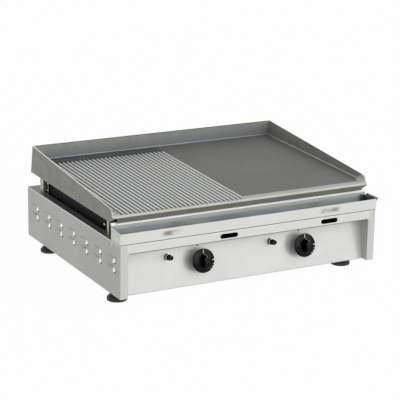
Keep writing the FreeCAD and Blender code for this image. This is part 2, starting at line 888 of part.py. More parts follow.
def gas_inlet():
    """The threaded connector in the rear panel, with its elbow block inside."""
    rear = casing_depth
    profile = [
        (inlet_bore_radius, -sheet),
        (inlet_shank_radius, -sheet),
        (inlet_shank_radius, 0),
        (inlet_flange_radius, 0),
        (inlet_flange_radius, inlet_flange_thickness),
        (inlet_thread_radius, inlet_flange_thickness),
        (inlet_thread_radius, inlet_flange_thickness + inlet_thread_length),
        (inlet_bore_radius, inlet_flange_thickness + inlet_thread_length),
    ]
    fitting = revolved(profile, Vector(inlet_x, rear, manifold_z), Y)
    size = 2 * inlet_shank_radius
    block = box(inlet_x - size, inlet_x + size, pipe_rear_y - size / 2, rear - sheet,
                manifold_z - size / 2, manifold_z + size / 2)
    drilling = Part.makeCylinder(inlet_bore_radius, rear - sheet - pipe_rear_y,
                                 Vector(inlet_x, pipe_rear_y, manifold_z), Y)
    return fitting.fuse(block.cut(drilling))


def burner(x):
    """A double-bar tube burner: two bars, a link and the mixing tube towards the tap."""
    length = burner_cross_y - burner_mouth_y
    mixing = [
        (0, burner_mouth_depth),
        (burner_mixing_radius - burner_tube_wall, burner_mouth_depth),
        (burner_mixing_radius - burner_tube_wall, burner_mouth_length),
        (burner_mouth_radius - burner_tube_wall, 0),
        (burner_mouth_radius, 0),
        (burner_mixing_radius, burner_mouth_length),
        (burner_mixing_radius, length),
        (0, length),
    ]
    bars = [Part.makeCylinder(burner_tube_radius, burner_rear - burner_front,
                              Vector(x + side * burner_spread, burner_front, burner_z), Y)
            for side in (-1, 1)]
    link = Part.makeCylinder(burner_link_radius, 2 * burner_spread,
                             Vector(x - burner_spread, burner_cross_y, burner_z), X)
    body = bars[0].fuse([bars[1], link, revolved(mixing, Vector(x, burner_mouth_y, burner_z), Y)])
    step = (burner_rear - burner_front) / burner_slots
    low = burner_z + burner_tube_radius - burner_slot_depth
    slots = []
    for k in range(burner_slots):
        y = burner_front + (k + 0.5) * step
        for side in (-1, 1):
            middle = x + side * burner_spread
            slots.append(box(middle - burner_tube_radius, middle + burner_tube_radius,
                             y, y + burner_slot_width, low, low + burner_slot_depth + past))
    return body.cut(slots)


def support_bar(y):
    """An angle across the heat shield that carries both burners."""
    half = shield_half_width - sheet
    top = burner_z - burner_tube_radius
    low = top - support_bar_size
    shelf = box(-half, half, y, y + support_bar_size, top - support_bar_thickness, top)
    web = box(-half, half, y, y + support_bar_thickness, low, top)
    return shelf.fuse(web).removeSplitter()


def injector_foot_y():
    """Where the injector's riser stands on the tap."""
    return panel_y(knob_z) + injector_tap_depth * math.cos(tilt)


def tap_outlet_z():
    """Top of the tap's outlet port."""
    return knob_z - injector_tap_depth * math.sin(tilt) + tap_radius + tap_port_rise


def injector(x):
    """The riser from the tap and the nozzle that points into the mixing tube."""
    y = injector_foot_y()
    half = injector_block / 2
    foot_z = tap_outlet_z()
    tip_y = burner_mouth_y - nozzle_gap + nozzle_length
    riser = Part.makeCylinder(injector_radius, burner_z - foot_z, Vector(x, y, foot_z))
    block = box(x - half, x + half, y - half, y + half, burner_z - half, burner_z + half)
    nozzle = Part.makeCylinder(nozzle_radius, tip_y - y, Vector(x, y, burner_z), Y)
    return block.fuse([riser, nozzle])


def probe(x, radius):
    """An upright rod on the front support bar, beside the burner's mixing tube."""
    foot_at = Vector(x, support_bars_y[0] + support_bar_size / 2, burner_z - burner_tube_radius)
    return Part.makeCylinder(radius, probe_height, foot_at)


# ---- Assembly ----

def pieces():
    """Every piece by the name of its file."""
    left = side_panel()
    parts = {
        "side_panel_left": left,
        "side_panel_right": mirrored(left),
        "top_frame": top_frame(),
        "control_panel": control_panel(),
        "rear_panel": rear_panel(),
        "base_pan": base_pan(),
        "heat_shield": heat_shield(),
        "foot_nuts": foot_nuts(),
        "griddle_plate": griddle_plate(),
        "splash_wall": splash_wall(),
        "front_apron": front_apron(),
        "drip_tray": drip_tray(),
        "gas_manifold": manifold(),
        "supply_pipe": supply_pipe(),
        "gas_inlet": gas_inlet(),
        "burner_bar_front": support_bar(support_bars_y[0]),
        "burner_bar_rear": support_bar(support_bars_y[1]),
    }
    for name, x, y in foot_places():
        parts["foot_" + name] = foot(x, y)
        parts["foot_stud_" + name] = foot_stud(x, y)
    for side, x_side in (("left", -1), ("right", 1)):
        for end, y in zip(("front", "rear"), legs_y):
            parts["support_leg_" + end + "_" + side] = support_leg(x_side, y)
    for side, x in zip(("left", "right"), knob_x):
        parts["knob_" + side] = on_panel(knob(), x, knob_z)
        parts["tap_stem_" + side] = on_panel(tap_stem(), x, knob_z)
        parts["tap_rotor_" + side] = on_panel(tap_rotor(), x, knob_z)
        parts["tap_body_" + side] = tap_body(x)
        parts["injector_" + side] = injector(x)
        parts["burner_" + side] = burner(x)
        parts["igniter_body_" + side] = on_panel(igniter_body(), x + igniter_offset, igniter_z)
        parts["igniter_button_" + side] = on_panel(igniter_button(), x + igniter_offset, igniter_z)
        parts["electrode_" + side] = probe(x - probe_offset, electrode_radius)
        parts["thermocouple_" + side] = probe(x + probe_offset, thermocouple_radius)
    return parts


def place(shape):
    """Moves a piece from the casing's frame to the object's own origin."""
    grip_low = grip_down - grip_draft
    front = panel_y(knob_z) - grip_out * math.cos(tilt) - grip_low * math.sin(tilt)
    rear = casing_depth + inlet_flange_thickness + inlet_thread_length
    return shape.translated(Vector((louvre_bulge - spout_out) / 2, -(front + rear) / 2, foot_height))


os.makedirs("parts", exist_ok=True)
for name, shape in pieces().items():
    place(shape).exportStep("parts/" + name + ".step")
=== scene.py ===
import math

import bmesh
import bpy
import numpy as np
from mathutils import Matrix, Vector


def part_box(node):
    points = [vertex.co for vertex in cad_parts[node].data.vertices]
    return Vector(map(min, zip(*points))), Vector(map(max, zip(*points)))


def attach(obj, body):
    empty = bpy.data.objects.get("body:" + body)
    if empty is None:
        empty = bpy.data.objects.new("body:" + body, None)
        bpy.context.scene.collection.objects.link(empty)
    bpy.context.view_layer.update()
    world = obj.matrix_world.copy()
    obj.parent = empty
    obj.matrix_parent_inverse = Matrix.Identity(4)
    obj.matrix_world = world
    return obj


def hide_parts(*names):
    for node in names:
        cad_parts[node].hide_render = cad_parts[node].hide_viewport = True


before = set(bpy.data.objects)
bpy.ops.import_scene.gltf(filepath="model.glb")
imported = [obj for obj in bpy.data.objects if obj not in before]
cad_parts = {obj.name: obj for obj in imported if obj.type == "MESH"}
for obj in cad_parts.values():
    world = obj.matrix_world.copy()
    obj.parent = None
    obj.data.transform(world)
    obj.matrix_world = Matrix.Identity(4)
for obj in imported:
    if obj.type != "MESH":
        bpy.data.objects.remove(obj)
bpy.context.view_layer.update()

# ---- Studio: a pale floor, two soft lamps and the camera ----
# The floor is matt white card, the lamps are two large soft boxes in front of the object,
# and the camera stands to its left and looks slightly down.

FLOOR_COLOUR = "#F4F4F4"
FLOOR_REACH = 12.0  # metres from the object to each edge of the card
FLOOR_GLOW = 0.98  # share of its white that the card shows without lamps
KEY_DIRECTION = (0.42, -0.82, 0.44)  # from the object towards the stronger lamp
KEY_STRENGTH = 0.95
KEY_SPREAD = 55.0
FILL_DIRECTION = (-0.18, -0.93, 0.33)
FILL_STRENGTH = 0.7
FILL_SPREAD = 45.0
ROOM_LEVEL = 0.36  # how bright the white room is for all other rays

CAMERA_PLACE = (-1.5331, -2.82505, 1.0696)
CAMERA_FORWARD = (0.4590, 0.8433, -0.2795)
CAMERA_ROLL = 1.09
CAMERA_LENS = 138.9
CAMERA_SENSOR = 36.0


def linear(colour):
    """An sRGB hex colour as linear red, green, blue and an alpha of one."""
    parts = np.array([int(colour[i:i + 2], 16) for i in (1, 3, 5)]) / 255
    low = parts / 12.92
    high = ((parts + 0.055) / 1.055) ** 2.4
    return (*np.where(parts <= 0.04045, low, high).tolist(), 1.0)


def fill(tree, made, inputs):
    """Fills each named input of a node with a value, an output, or a node's first output."""
    for name, value in inputs.items():
        if isinstance(value, bpy.types.Node):
            value = value.outputs[0]
        if isinstance(value, bpy.types.NodeSocket):
            tree.links.new(value, made.inputs[name])
        else:
            made.inputs[name].default_value = value


def node(tree, kind, inputs=None, **settings):
    """Adds one shader node of a kind, gives it its settings, and fills its inputs."""
    made = tree.nodes.new("ShaderNode" + kind)
    for name, value in settings.items():
        setattr(made, name, value)
    fill(tree, made, inputs or {})
    return made


def new_material(name):
    """An empty material; its tree and a principled shader that feeds its output."""
    material = bpy.data.materials.new(name)
    material.use_nodes = True
    tree = material.node_tree
    tree.nodes.clear()
    shader = node(tree, "BsdfPrincipled")
    node(tree, "OutputMaterial", {"Surface": shader})
    return material, tree, shader


def grid_faces(rows, columns, around, start):
    """Quads between neighbouring points of a grid, whose columns may close on themselves."""
    across = np.arange(columns if around else columns - 1)
    row, column = np.meshgrid(np.arange(rows - 1), across, indexing="ij")
    after = (column + 1) % columns
    corners = [row * columns + column, row * columns + after,
               (row + 1) * columns + after, (row + 1) * columns + column]
    return start + np.stack([c.ravel() for c in corners], axis=1)


def make_piece(name, patches, smooth=35.0, thickness=0.0):
    """One mesh object from grids of points in metres, each given as (points, around, material).

    Points that meet are merged, so that seams and poles close, and faces look outwards.
    A thickness in metres turns a skin into a sheet that lies behind it.
    """
    points = []
    faces = []
    finish = []
    materials = list(dict.fromkeys(material for grid, around, material in patches))
    start = 0
    for grid, around, material in patches:
        rows, columns = grid.shape[:2]
        points.append(grid.reshape(-1, 3))
        faces.append(grid_faces(rows, columns, around, start))
        finish.append(np.full(len(faces[-1]), materials.index(material), dtype=np.int32))
        start += rows * columns
    points = np.concatenate(points)
    faces = np.concatenate(faces).astype(np.int32)
    mesh = bpy.data.meshes.new(name)
    mesh.vertices.add(len(points))
    mesh.vertices.foreach_set("co", points.astype(np.float32).ravel())
    mesh.loops.add(faces.size)
    mesh.loops.foreach_set("vertex_index", faces.ravel())
    mesh.polygons.add(len(faces))
    mesh.polygons.foreach_set("loop_start", np.arange(0, faces.size, 4, dtype=np.int32))
    for material in materials:
        mesh.materials.append(material)
    mesh.polygons.foreach_set("material_index", np.concatenate(finish))
    mesh.update(calc_edges=True)
    work = bmesh.new()
    work.from_mesh(mesh)
    bmesh.ops.remove_doubles(work, verts=work.verts, dist=2e-6)
    bmesh.ops.dissolve_degenerate(work, edges=work.edges, dist=1e-7)
    if not thickness:
        bmesh.ops.recalc_face_normals(work, faces=work.faces)
    work.to_mesh(mesh)
    work.free()
    mesh.shade_smooth()
    mesh.set_sharp_from_angle(angle=math.radians(smooth))
    piece = bpy.data.objects.new(name, mesh)
    bpy.context.scene.collection.objects.link(piece)
    if thickness:
        sheet = piece.modifiers.new("sheet", "SOLIDIFY")
        sheet.thickness = thickness
        sheet.offset = -1.0
        sheet.use_even_offset = True
    return piece


def white_rays(tree):
    """One for rays that see the backdrop: straight, mirrored or through glass. Else nought."""
    rays = node(tree, "LightPath").outputs
    seen = rays["Is Camera Ray"]
    for kind in ("Is Glossy Ray", "Is Transmission Ray"):
        seen = node(tree, "Math", {0: seen, 1: rays[kind]}, operation="MAXIMUM")
    return seen


# Matt card with a fine tooth. The rays that see the backdrop find most of its white whatever
# the lamps do, so only a faint shadow of the object is left on it.
card, tree, shader = new_material("matt white card")
grit = node(tree, "TexNoise", {
    "Vector": node(tree, "TexCoord").outputs["Object"], "Scale": 900.0, "Detail": 2.0})
tooth = node(tree, "Bump", {"Height": grit.outputs["Fac"], "Strength": 0.1, "Distance": 0.0002})
fill(tree, shader, {"Normal": tooth, "Base Color": linear(FLOOR_COLOUR),
                    "Roughness": 0.9, "Specular IOR Level": 0.0})
output = shader.outputs[0].links[0].to_node
share = node(tree, "Math", {0: white_rays(tree), 1: FLOOR_GLOW}, operation="MULTIPLY")
glow = node(tree, "Emission", {"Color": (1, 1, 1, 1), "Strength": 1.0})
lit = node(tree, "MixShader", {0: share, 1: shader, 2: glow})
fill(tree, output, {"Surface": lit})

reach = np.array([-FLOOR_REACH, FLOOR_REACH])
ground = np.stack(np.meshgrid(reach, reach, indexing="ij") + [np.zeros((2, 2))], axis=-1)
floor = make_piece("floor", [(ground, False, card)])


def soft_lamp(name, direction, strength, spread):
    """A distant lamp that shines from a direction, seen as a disc `spread` degrees wide."""
    lamp = bpy.data.objects.new(name, bpy.data.lights.new(name, "SUN"))
    lamp.data.energy = strength
    lamp.data.angle = math.radians(spread)
    x, y, z = direction
    lamp.rotation_euler = (math.atan2(math.hypot(x, y), z), 0, math.atan2(y, x) + math.pi / 2)
    bpy.context.scene.collection.objects.link(lamp)


soft_lamp("key_lamp", KEY_DIRECTION, KEY_STRENGTH, KEY_SPREAD)
soft_lamp("fill_lamp", FILL_DIRECTION, FILL_STRENGTH, FILL_SPREAD)

world = bpy.data.worlds.new("studio")
world.use_nodes = True
tree = world.node_tree
tree.nodes.clear()
level = node(tree, "MapRange", {"Value": white_rays(tree), "To Min": ROOM_LEVEL, "To Max": 1.0})
sky = node(tree, "Background", {"Color": (1, 1, 1, 1), "Strength": level})
node(tree, "OutputWorld", {"Surface": sky})
bpy.context.scene.world = world
bpy.context.scene.view_settings.view_transform = "Standard"


def unit(vector):
    """A vector over its length."""
    return vector / np.linalg.norm(vector)


forward = unit(np.array(CAMERA_FORWARD))
level_right = unit(np.cross(forward, (0, 0, 1)))
level_up = np.cross(level_right, forward)
roll = math.radians(CAMERA_ROLL)
right = math.cos(roll) * level_right + math.sin(roll) * level_up
up = math.cos(roll) * level_up - math.sin(roll) * level_right
camera = bpy.data.objects.new("camera", bpy.data.cameras.new("camera"))
camera.data.lens = CAMERA_LENS
camera.data.sensor_width = CAMERA_SENSOR
turn_and_place = np.column_stack([right, up, -forward, CAMERA_PLACE])
camera.matrix_world = Matrix([*turn_and_place.tolist(), (0, 0, 0, 1)])
bpy.context.scene.collection.objects.link(camera)
bpy.context.scene.camera = camera


# ---- Casing: folded stainless sheets ----
# Side panels, top frame, control panel and rear panel are 1.2 mm 304 sheet with a brushed
# finish, folded on a press brake. Each side panel has two rows of seven pressed louvres.

CASING_WIDTH = 600.0
CASING_DEPTH = 475.0
CASING_HEIGHT = 111.0
SHEET = 1.2
FOLD_RADIUS = 2.0
FOLD_STEPS = 6
POST_WIDTH = 17.5
POST_DEPTH = 38.0
LOUVRE_MARGIN = 41.9
LOUVRE_COLUMNS = 7
LOUVRE_SLITS = (51.0, 70.0)
LOUVRE_LENGTH = 35.0
LOUVRE_RISE = 9.5
LOUVRE_BULGE = 4.4
LOUVRE_END = 5.0
HOOD_STEPS = 27  # points along a hood
HOOD_ROWS = 10  # points up a hood
EDGE = 0.3  # a row of points this far inside each cut edge keeps the sheet flat
RELIEF_DIP = 3.6  # notch in the flat metal's edge at both ends of a slit
RELIEF_REACH = 3.6
BELOW_NOTCH = 6.0  # rows of points: under the notches, at a slit and over a hood
BELOW_SLIT = 0.5
ABOVE_HOOD = 0.4

SHEET_METALLIC = 0.35
SHEET_ROUGHNESS = 0.36
GRAIN_ACROSS = (11.0, 1400.0, 1400.0)
GRAIN_BACKWARD = (1400.0, 11.0, 1400.0)

deck_low, deck_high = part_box("top_frame")
casing_origin = np.array([(deck_low[0] + deck_high[0]) / 2, deck_low[1],
                          deck_high[2] - CASING_HEIGHT / 1000])


def placed(points):
    """Millimetres from the middle of the casing's lower front edge, as metres in the frame."""
    return casing_origin + points / 1000


def points_at(x, y, z):
    """Points from their three coordinates: numbers or arrays, spread over one grid."""
    return np.stack(np.broadcast_arrays(x, y, z), axis=-1)


def object_pattern(tree, scale, **inputs):
    """A noise on Object coordinates: cycles per metre, one for all axes or one for each."""
    where = node(tree, "Mapping", {
        "Vector": node(tree, "TexCoord").outputs["Object"],
        "Scale": np.broadcast_to(scale, 3).tolist()})
    return node(tree, "TexNoise", {"Vector": where, "Scale": 1.0, **inputs}).outputs["Fac"]


def within(tree, *ramps):
    """One inside a place on the object: the product of ramps (axis, from, to) in millimetres."""
    place = node(tree, "SeparateXYZ", {0: node(tree, "TexCoord").outputs["Object"]})
    amount = 1.0
    for axis, start, end in ramps:
        shift = casing_origin["XYZ".index(axis)]
        ramp = node(tree, "MapRange", {
            "Value": place.outputs[axis],
            "From Min": shift + start / 1000, "From Max": shift + end / 1000})
        amount = node(tree, "Math", {0: ramp, 1: amount}, operation="MULTIPLY")
    return amount


def tinted(tree, shader, amount, colour):
    """Lays another colour over the shader's own, as far as the amount is one."""
    socket = shader.inputs["Base Color"]
    over = node(tree, "Mix", {
        0: amount, 6: socket.links[0].from_socket, 7: linear(colour)}, data_type="RGBA")
    tree.links.new(over.outputs[2], socket)


def toned(tree, shader, places):
    """Lays one colour after another over its place: each is given as (colour, ramp, ramp ...)."""
    for colour, *ramps in places:
        tinted(tree, shader, within(tree, *ramps), colour)


def brushed_metal(name, pale, dark, grain, metallic, roughness, depth=0.00002, cloud=9.0):
    """Metal with a brushed grain: the lines vary its colour, roughness and height."""
    material, tree, shader = new_material(name)
    lines = object_pattern(tree, grain, Detail=3.0, Roughness=0.6)
    clouds = object_pattern(tree, cloud, Detail=4.0, Roughness=0.6)
    both = node(tree, "Math", {0: lines, 1: clouds}, operation="ADD")
    amount = node(tree, "MapRange", {"Value": both, "From Min": 0.75, "From Max": 1.25})
    colour = node(tree, "Mix", {0: amount, 6: linear(dark), 7: linear(pale)}, data_type="RGBA")
    rough = node(tree, "MapRange", {
        "Value": both, "From Min": 0.7, "From Max": 1.3,
        "To Min": roughness + 0.06, "To Max": roughness - 0.06})
    bump = node(tree, "Bump", {"Height": lines, "Strength": 0.5, "Distance": depth})
    fill(tree, shader, {"Base Color": colour.outputs[2], "Roughness": rough,
                        "Normal": bump, "Metallic": metallic})
    return material, tree, shader


def brushed_sheet(name, pale="#E2E2DF", dark="#DADAD7", grain=GRAIN_ACROSS):
    """Brushed 304 sheet: lines 0.7 mm apart and some 90 mm long, in two close tones."""
    return brushed_metal(name, pale, dark, grain, SHEET_METALLIC, SHEET_ROUGHNESS)


# The lines run along the front. The top frame has the same finish, with painted shade on it:
# its deck is painted grey as shade and dark reflection under the plate, the back of its band
# is painted black as shade inside the casing, and the band's lower fold is painted dark as shade.
front_steel = brushed_sheet("brushed 304 stainless, grain across")[0]
# The control panel's sheet is the front's sheet painted darker, as painted shade in its recess.
shaded_panel_steel = brushed_sheet("brushed 304 stainless, recessed front with painted shade", "#D0D0CE", "#C8C8C6")[0]
deck_steel, tree, shader = brushed_sheet("brushed 304 stainless with painted shade on deck and band")
toned(tree, shader, (
    # painted shade and dark reflection on the deck under the plate
    ("#75777B", ("Z", 110.8, 110.95)),
    # painted shade: black behind the band, inside the casing
    ("#141414", ("Y", 0.3, 0.5), ("Z", 109.6, 109.2)),
    # painted shade along the band's lower fold
    ("#5E5E5C", ("Z", 93.2, 92.6), ("Y", 2.0, 1.5))))

# On the sides the lines run front to back. The side sheet is painted darker than the front as
# shade, and its faces turned to the front are painted lighter as light: the posts' faces and
# the hoods' front ends. The hoods' front ends are also burnished, smoother and more metallic,
# and painted brighter still as a highlight, and the top edge is painted bright as a highlight.
# A short dark line beside the corner's rivet stands for the narrow slit there.
side_steel, tree, shader = brushed_sheet(
    "brushed 304 stainless, grain front to back", "#C0C0BC", "#B5B5B1", GRAIN_BACKWARD)
facing = node(tree, "SeparateXYZ", {0: node(tree, "TexCoord").outputs["Normal"]})
frontal = node(tree, "MapRange", {
    "Value": facing.outputs["Y"], "From Min": -0.2, "From Max": -0.6})
behind_post = ("Y", 5.0, 6.0)
hood_end = node(tree, "Math", {0: frontal, 1: within(tree, behind_post)}, operation="MULTIPLY")
for socket, plain, burnished in (("Metallic", SHEET_METALLIC, 0.8),
                                 ("Roughness", SHEET_ROUGHNESS, 0.25)):
    blend = node(tree, "MapRange", {"Value": hood_end, "To Min": plain, "To Max": burnished})
    fill(tree, shader, {socket: blend})
# painted light: faces turned to the front are lighter
tinted(tree, shader, frontal, "#CECECB")
# painted highlight on the hoods' front ends
tinted(tree, shader, hood_end, "#E6E6E2")
toned(tree, shader, (
    # painted highlight along the top edge
    ("#E6E6E2", ("Z", 108.4, 108.9), behind_post),
    ("#3A3A38", ("Y", 31.4, 31.7), ("Y", 32.8, 32.5), ("Z", 100.0, 100.3), ("Z", 106.3, 106.0))))


def finish_nodes(material, *names):
    """Gives CAD nodes that stay visible their finish."""
    for name in names:
        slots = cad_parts[name].data.materials
        slots.clear()
        slots.append(material)


finish_nodes(deck_steel, "top_frame")
finish_nodes(shaded_panel_steel, "control_panel")
finish_nodes(front_steel, "rear_panel", "base_pan")

half_width = CASING_WIDTH / 2
post_inner = -half_width + POST_WIDTH
panel_top = CASING_HEIGHT - SHEET
hood_middles = np.linspace(LOUVRE_MARGIN, CASING_DEPTH - LOUVRE_MARGIN, LOUVRE_COLUMNS)


def off_middle(y):
    """Distance of a place on the side from the middle of the nearest column of louvres."""
    return np.abs(y[..., None] - hood_middles).min(axis=-1)


def louvre_bulge(y, z, slit):
    """How far a row of hoods stands out: a half ellipse above the slit with rounded ends.

    The hood's height above its slit and the distance past its straight run are each
    divided by their reach, and the bulge is the root of what their squares leave of one.
    """
    past_run = np.maximum(off_middle(y) - (LOUVRE_LENGTH / 2 - LOUVRE_END), 0) / LOUVRE_END
    above = np.maximum(z - slit, 0) / LOUVRE_RISE
    return LOUVRE_BULGE * np.sqrt(np.clip(1 - past_run ** 2 - above ** 2, 0, 1))


def arc(centre, radius, start, end, steps):
    """Points on an arc in a plane, from one angle in degrees to another."""
    angle = np.radians(np.linspace(start, end, steps))
    return np.stack([centre[0] + radius * np.cos(angle),
                     centre[1] + radius * np.sin(angle)], axis=1)


def capped(sections):
    """Closes a row of closed sections: each end is gathered into its middle point."""
    ends = [np.repeat(sections[k].mean(axis=0)[None, None], sections.shape[1], axis=1)
            for k in (0, -1)]
    return np.concatenate([ends[0], sections, ends[1]])


# The side panel's plan, from the post's inner edge round the corner and along the louvres,
# whose points lie closer together towards their ends.
past_end = LOUVRE_LENGTH / 2 + RELIEF_REACH * np.array([0.25, 0.5, 0.75, 1.0])
hood_run = LOUVRE_LENGTH / 2 * np.sin(np.linspace(-math.pi / 2, math.pi / 2, HOOD_STEPS))
hood_steps = np.concatenate([-past_end[::-1], hood_run, past_end])
beside = FOLD_RADIUS + EDGE
side_y = np.concatenate([[FOLD_RADIUS, beside], *[y + hood_steps for y in hood_middles],
                         [CASING_DEPTH - EDGE, CASING_DEPTH]])
inner_fold = (post_inner - FOLD_RADIUS, FOLD_RADIUS)
outer_fold = (-half_width + FOLD_RADIUS, FOLD_RADIUS)
plan = np.concatenate([
    [[post_inner, POST_DEPTH], [post_inner, POST_DEPTH - EDGE], [post_inner, beside]],
    arc(inner_fold, FOLD_RADIUS, 0, -90, FOLD_STEPS),
    [[post_inner - beside, 0], [-half_width + beside, 0]],
    arc(outer_fold, FOLD_RADIUS, -90, -180, FOLD_STEPS)[:-1],
    np.stack([np.full(len(side_y), -half_width), side_y], axis=1)])


def rows_to(slit):
    """Heights of the last rows of points under a slit."""
    return [slit - BELOW_NOTCH, slit - BELOW_SLIT, slit]


def rows_from(slit):
    """Heights of the rows of points up a hood and just over it."""
    up_hood = LOUVRE_RISE * np.sin(np.linspace(0, math.pi / 2, HOOD_ROWS))
    return [*(slit + np.insert(up_hood, 1, EDGE)), slit + LOUVRE_RISE + ABOVE_HOOD]


lower, upper = LOUVRE_SLITS
bands = [
    ([0.0, EDGE, *rows_to(lower)], None),
    ([*rows_from(lower), *rows_to(upper)], lower),
    ([*rows_from(upper), panel_top - EDGE, panel_top], upper),
]


def side_skin(side):
    """The outer skin of a side panel: its plan carried upwards, louvres pressed outwards.

    A band's upper edge dips in a parabola at each end of the slit that it bounds.
    """
    patches = []
    for heights, slit in bands:
        x, y, z = np.moveaxis(points_at(plan[:, :1], plan[:, 1:], heights), -1, 0)
        if slit is not None:
            x = np.where(x == -half_width, x - louvre_bulge(y, z, slit), x)
        if heights[-1] in LOUVRE_SLITS:
            from_end = np.abs(off_middle(y[:, -1]) - LOUVRE_LENGTH / 2)
            share = np.clip(from_end / RELIEF_REACH, 0, 1)
            dip = np.where(x[:, -1] == -half_width, RELIEF_DIP * (1 - share ** 2), 0)
            z[:, -1] -= dip
            z[:, -2] -= dip
        points = placed(points_at(-side * x, y, z))
        patches.append((points if side < 0 else points[::-1], False, side_steel))
    return patches


for side, name in ((-1, "side_panel_left"), (1, "side_panel_right")):
    panel = make_piece("louvred_" + name, side_skin(side), smooth=50.0, thickness=SHEET / 1000)
    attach(panel, "casing")
    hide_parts(name)


def turned(profile, steps=48):
    """A closed turned shape: (radius, height) points carried round the z axis."""
    radius, height = np.array(profile).T
    angle = np.linspace(0, 2 * math.pi, steps, endpoint=False)
    radius = radius[:, None]
    return points_at(radius * np.cos(angle), radius * np.sin(angle), height[:, None])


def aimed(points, axis, place):
    """Turns a shape drawn along z to point along -x, +x or +y, and moves it to its place."""
    across, up, out = np.moveaxis(points, -1, 0)
    pointing = {"-x": (-out, across, up), "+x": (out, -across, up), "+y": (across, out, up)}
    return placed(points_at(*pointing[axis]) + place)


# The band's ends are welded to the posts and ground flush: a strip of bare metal over each
# joint, from the band's lower edge to the deck.
SEAM_REACH = 2.0
SEAM_PROUD = 0.04
SEAM_DEPTH = 0.6
SEAM_HEIGHTS = (91.2, 101.0, panel_top)


def seam_strip(x):
    """The flush weld over one joint: a flat bar, whose four corners are carried upwards."""
    across = x + SEAM_REACH * np.array([-1, 1, 1, -1])
    inwards = np.repeat([-SEAM_PROUD, SEAM_DEPTH], 2)
    return placed(capped(points_at(across, inwards, np.array(SEAM_HEIGHTS)[:, None])))


corner_welds = make_piece("flush_corner_welds", [
    (seam_strip(x), True, front_steel) for x in (post_inner, -post_inner)])
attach(corner_welds, "casing")


# Pan-head screws and rivets, nickel-plated: a low dome, the screw's with a small recess.
SCREW_PROFILE = ((0, -0.2), (3.0, -0.2), (3.0, 0.5), (2.7, 1.1), (2.0, 1.6), (1.1, 1.8),
                 (0.9, 1.2), (0, 1.2))
RIVET_PROFILE = ((0, -0.2), (2.3, -0.2), (2.3, 0.2), (1.9, 0.7), (1.1, 1.0), (0, 1.1))
SHIELD_SIDE = 279.0
SHIELD_SCREWS = ((412.3, 131.0), (412.0, 116.0), (118.5, 120.2))
SIDE_RIVET = (38.5, 104.3)
REAR_SCREWS_X = (-288.0, 288.0)
REAR_SCREWS_Z = (14.0, 55.0, 97.0)

plated = brushed_metal("nickel-plated steel", "#DDDCD6", "#CFCEC8", 300.0, 0.7, 0.25)[0]
sides = (("-x", -1), ("+x", 1))
fixings = [
    *[(axis, (side * SHIELD_SIDE, *place), SCREW_PROFILE)
      for axis, side in sides for place in SHIELD_SCREWS],
    *[(axis, (side * half_width, *SIDE_RIVET), RIVET_PROFILE) for axis, side in sides],
    *[("+y", (x, CASING_DEPTH, z), SCREW_PROFILE) for x in REAR_SCREWS_X for z in REAR_SCREWS_Z],
]
screws = make_piece("casing_screws", [
    (aimed(turned(profile, 20), axis, place), True, plated) for axis, place, profile in fixings])
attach(screws, "casing")


# ---- Levelling feet ----
# Moulded black polyamide pads, each on an M8 zinc-plated stud that screws up and down in
# a weld nut on the base pan.

FOOT_PLACES = {"front_left": (-269.0, 80.0), "front_right": (269.0, 80.0),
               "rear_left": (-269.0, 426.0), "rear_right": (269.0, 426.0)}
FOOT_PROFILE = ((0, -29), (20.4, -29), (21, -28.4), (21, -23.2), (20.2, -22.4), (13.4, -15.2),
                (12.2, -14.5), (8.5, -14.5), (8.5, -0.3), (4.05, -0.3), (4.05, -22.4),
                (0, -22.4))
STUD_RADIUS = 4.0
STUD_PITCH = 1.25
STUD_DEPTH = 0.7  # of its thread
STUD_LOW = -22.3
STUD_HIGH = 22.0
FLANK_RISE = 1.35  # height of a thread's full V over the depth it is cut to
ROOT_FLAT = 0.2  # share of that depth which the flat root takes off the V


def threaded(radius, pitch, depth, low, high, around=24, steps=8):
    """A threaded rod along z, with flat ends.

    The thread's height in its cycle is the height over the pitch less the turn made so far;
    the radius falls by the depth in a V whose crest and root are cut off flat.
    """
    height = np.linspace(low, high, int((high - low) / pitch * steps) + 1)[:, None]
    angle = np.linspace(0, 2 * math.pi, around, endpoint=False)[None, :]
    cycle = (height / pitch - angle / (2 * math.pi)) % 1
    ridge = np.clip(FLANK_RISE * np.abs(2 * cycle - 1) - ROOT_FLAT, 0, 1)
    out = radius - depth * (1 - ridge)
    return points_at(out * np.cos(angle), out * np.sin(angle), height)


def dull_black(name, colour, grain, specular):
    """A dull black coat or moulding, whose fine bumps are `grain` to the metre."""
    material, tree, shader = new_material(name)
    bumps = object_pattern(tree, grain, Detail=2.0)
    bump = node(tree, "Bump", {"Height": bumps, "Strength": 0.3, "Distance": 0.0001})
    fill(tree, shader, {"Normal": bump, "Base Color": linear(colour),
                        "Roughness": 0.5, "Specular IOR Level": specular})
    return material


foot_plastic = dull_black("moulded black polyamide", "#141414", 700.0, 0.5)
zinc = brushed_metal("zinc-plated steel", "#C9C3B2", "#B8B2A2", 60.0, 0.6, 0.38)[0]

for place, (x, y) in FOOT_PLACES.items():
    foot = make_piece("moulded_foot_" + place, [
        (placed(turned(FOOT_PROFILE) + (x, y, 0)), True, foot_plastic)])
    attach(foot, "levelling_foot_" + place)
    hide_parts("foot_" + place)
    rod = capped(threaded(STUD_RADIUS, STUD_PITCH, STUD_DEPTH, STUD_LOW, STUD_HIGH)) + (x, y, 0)
    stud = make_piece("threaded_stud_" + place, [(placed(rod), True, zinc)])
    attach(stud, "levelling_foot_" + place)
    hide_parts("foot_stud_" + place)
finish_nodes(zinc, "foot_nuts")


# ---- Griddle plate ----
# An 8 mm steel plate that slopes down to the front, ground flat on its right half and
# milled into 28 straight grooves on its left half, with a rounded front lip.

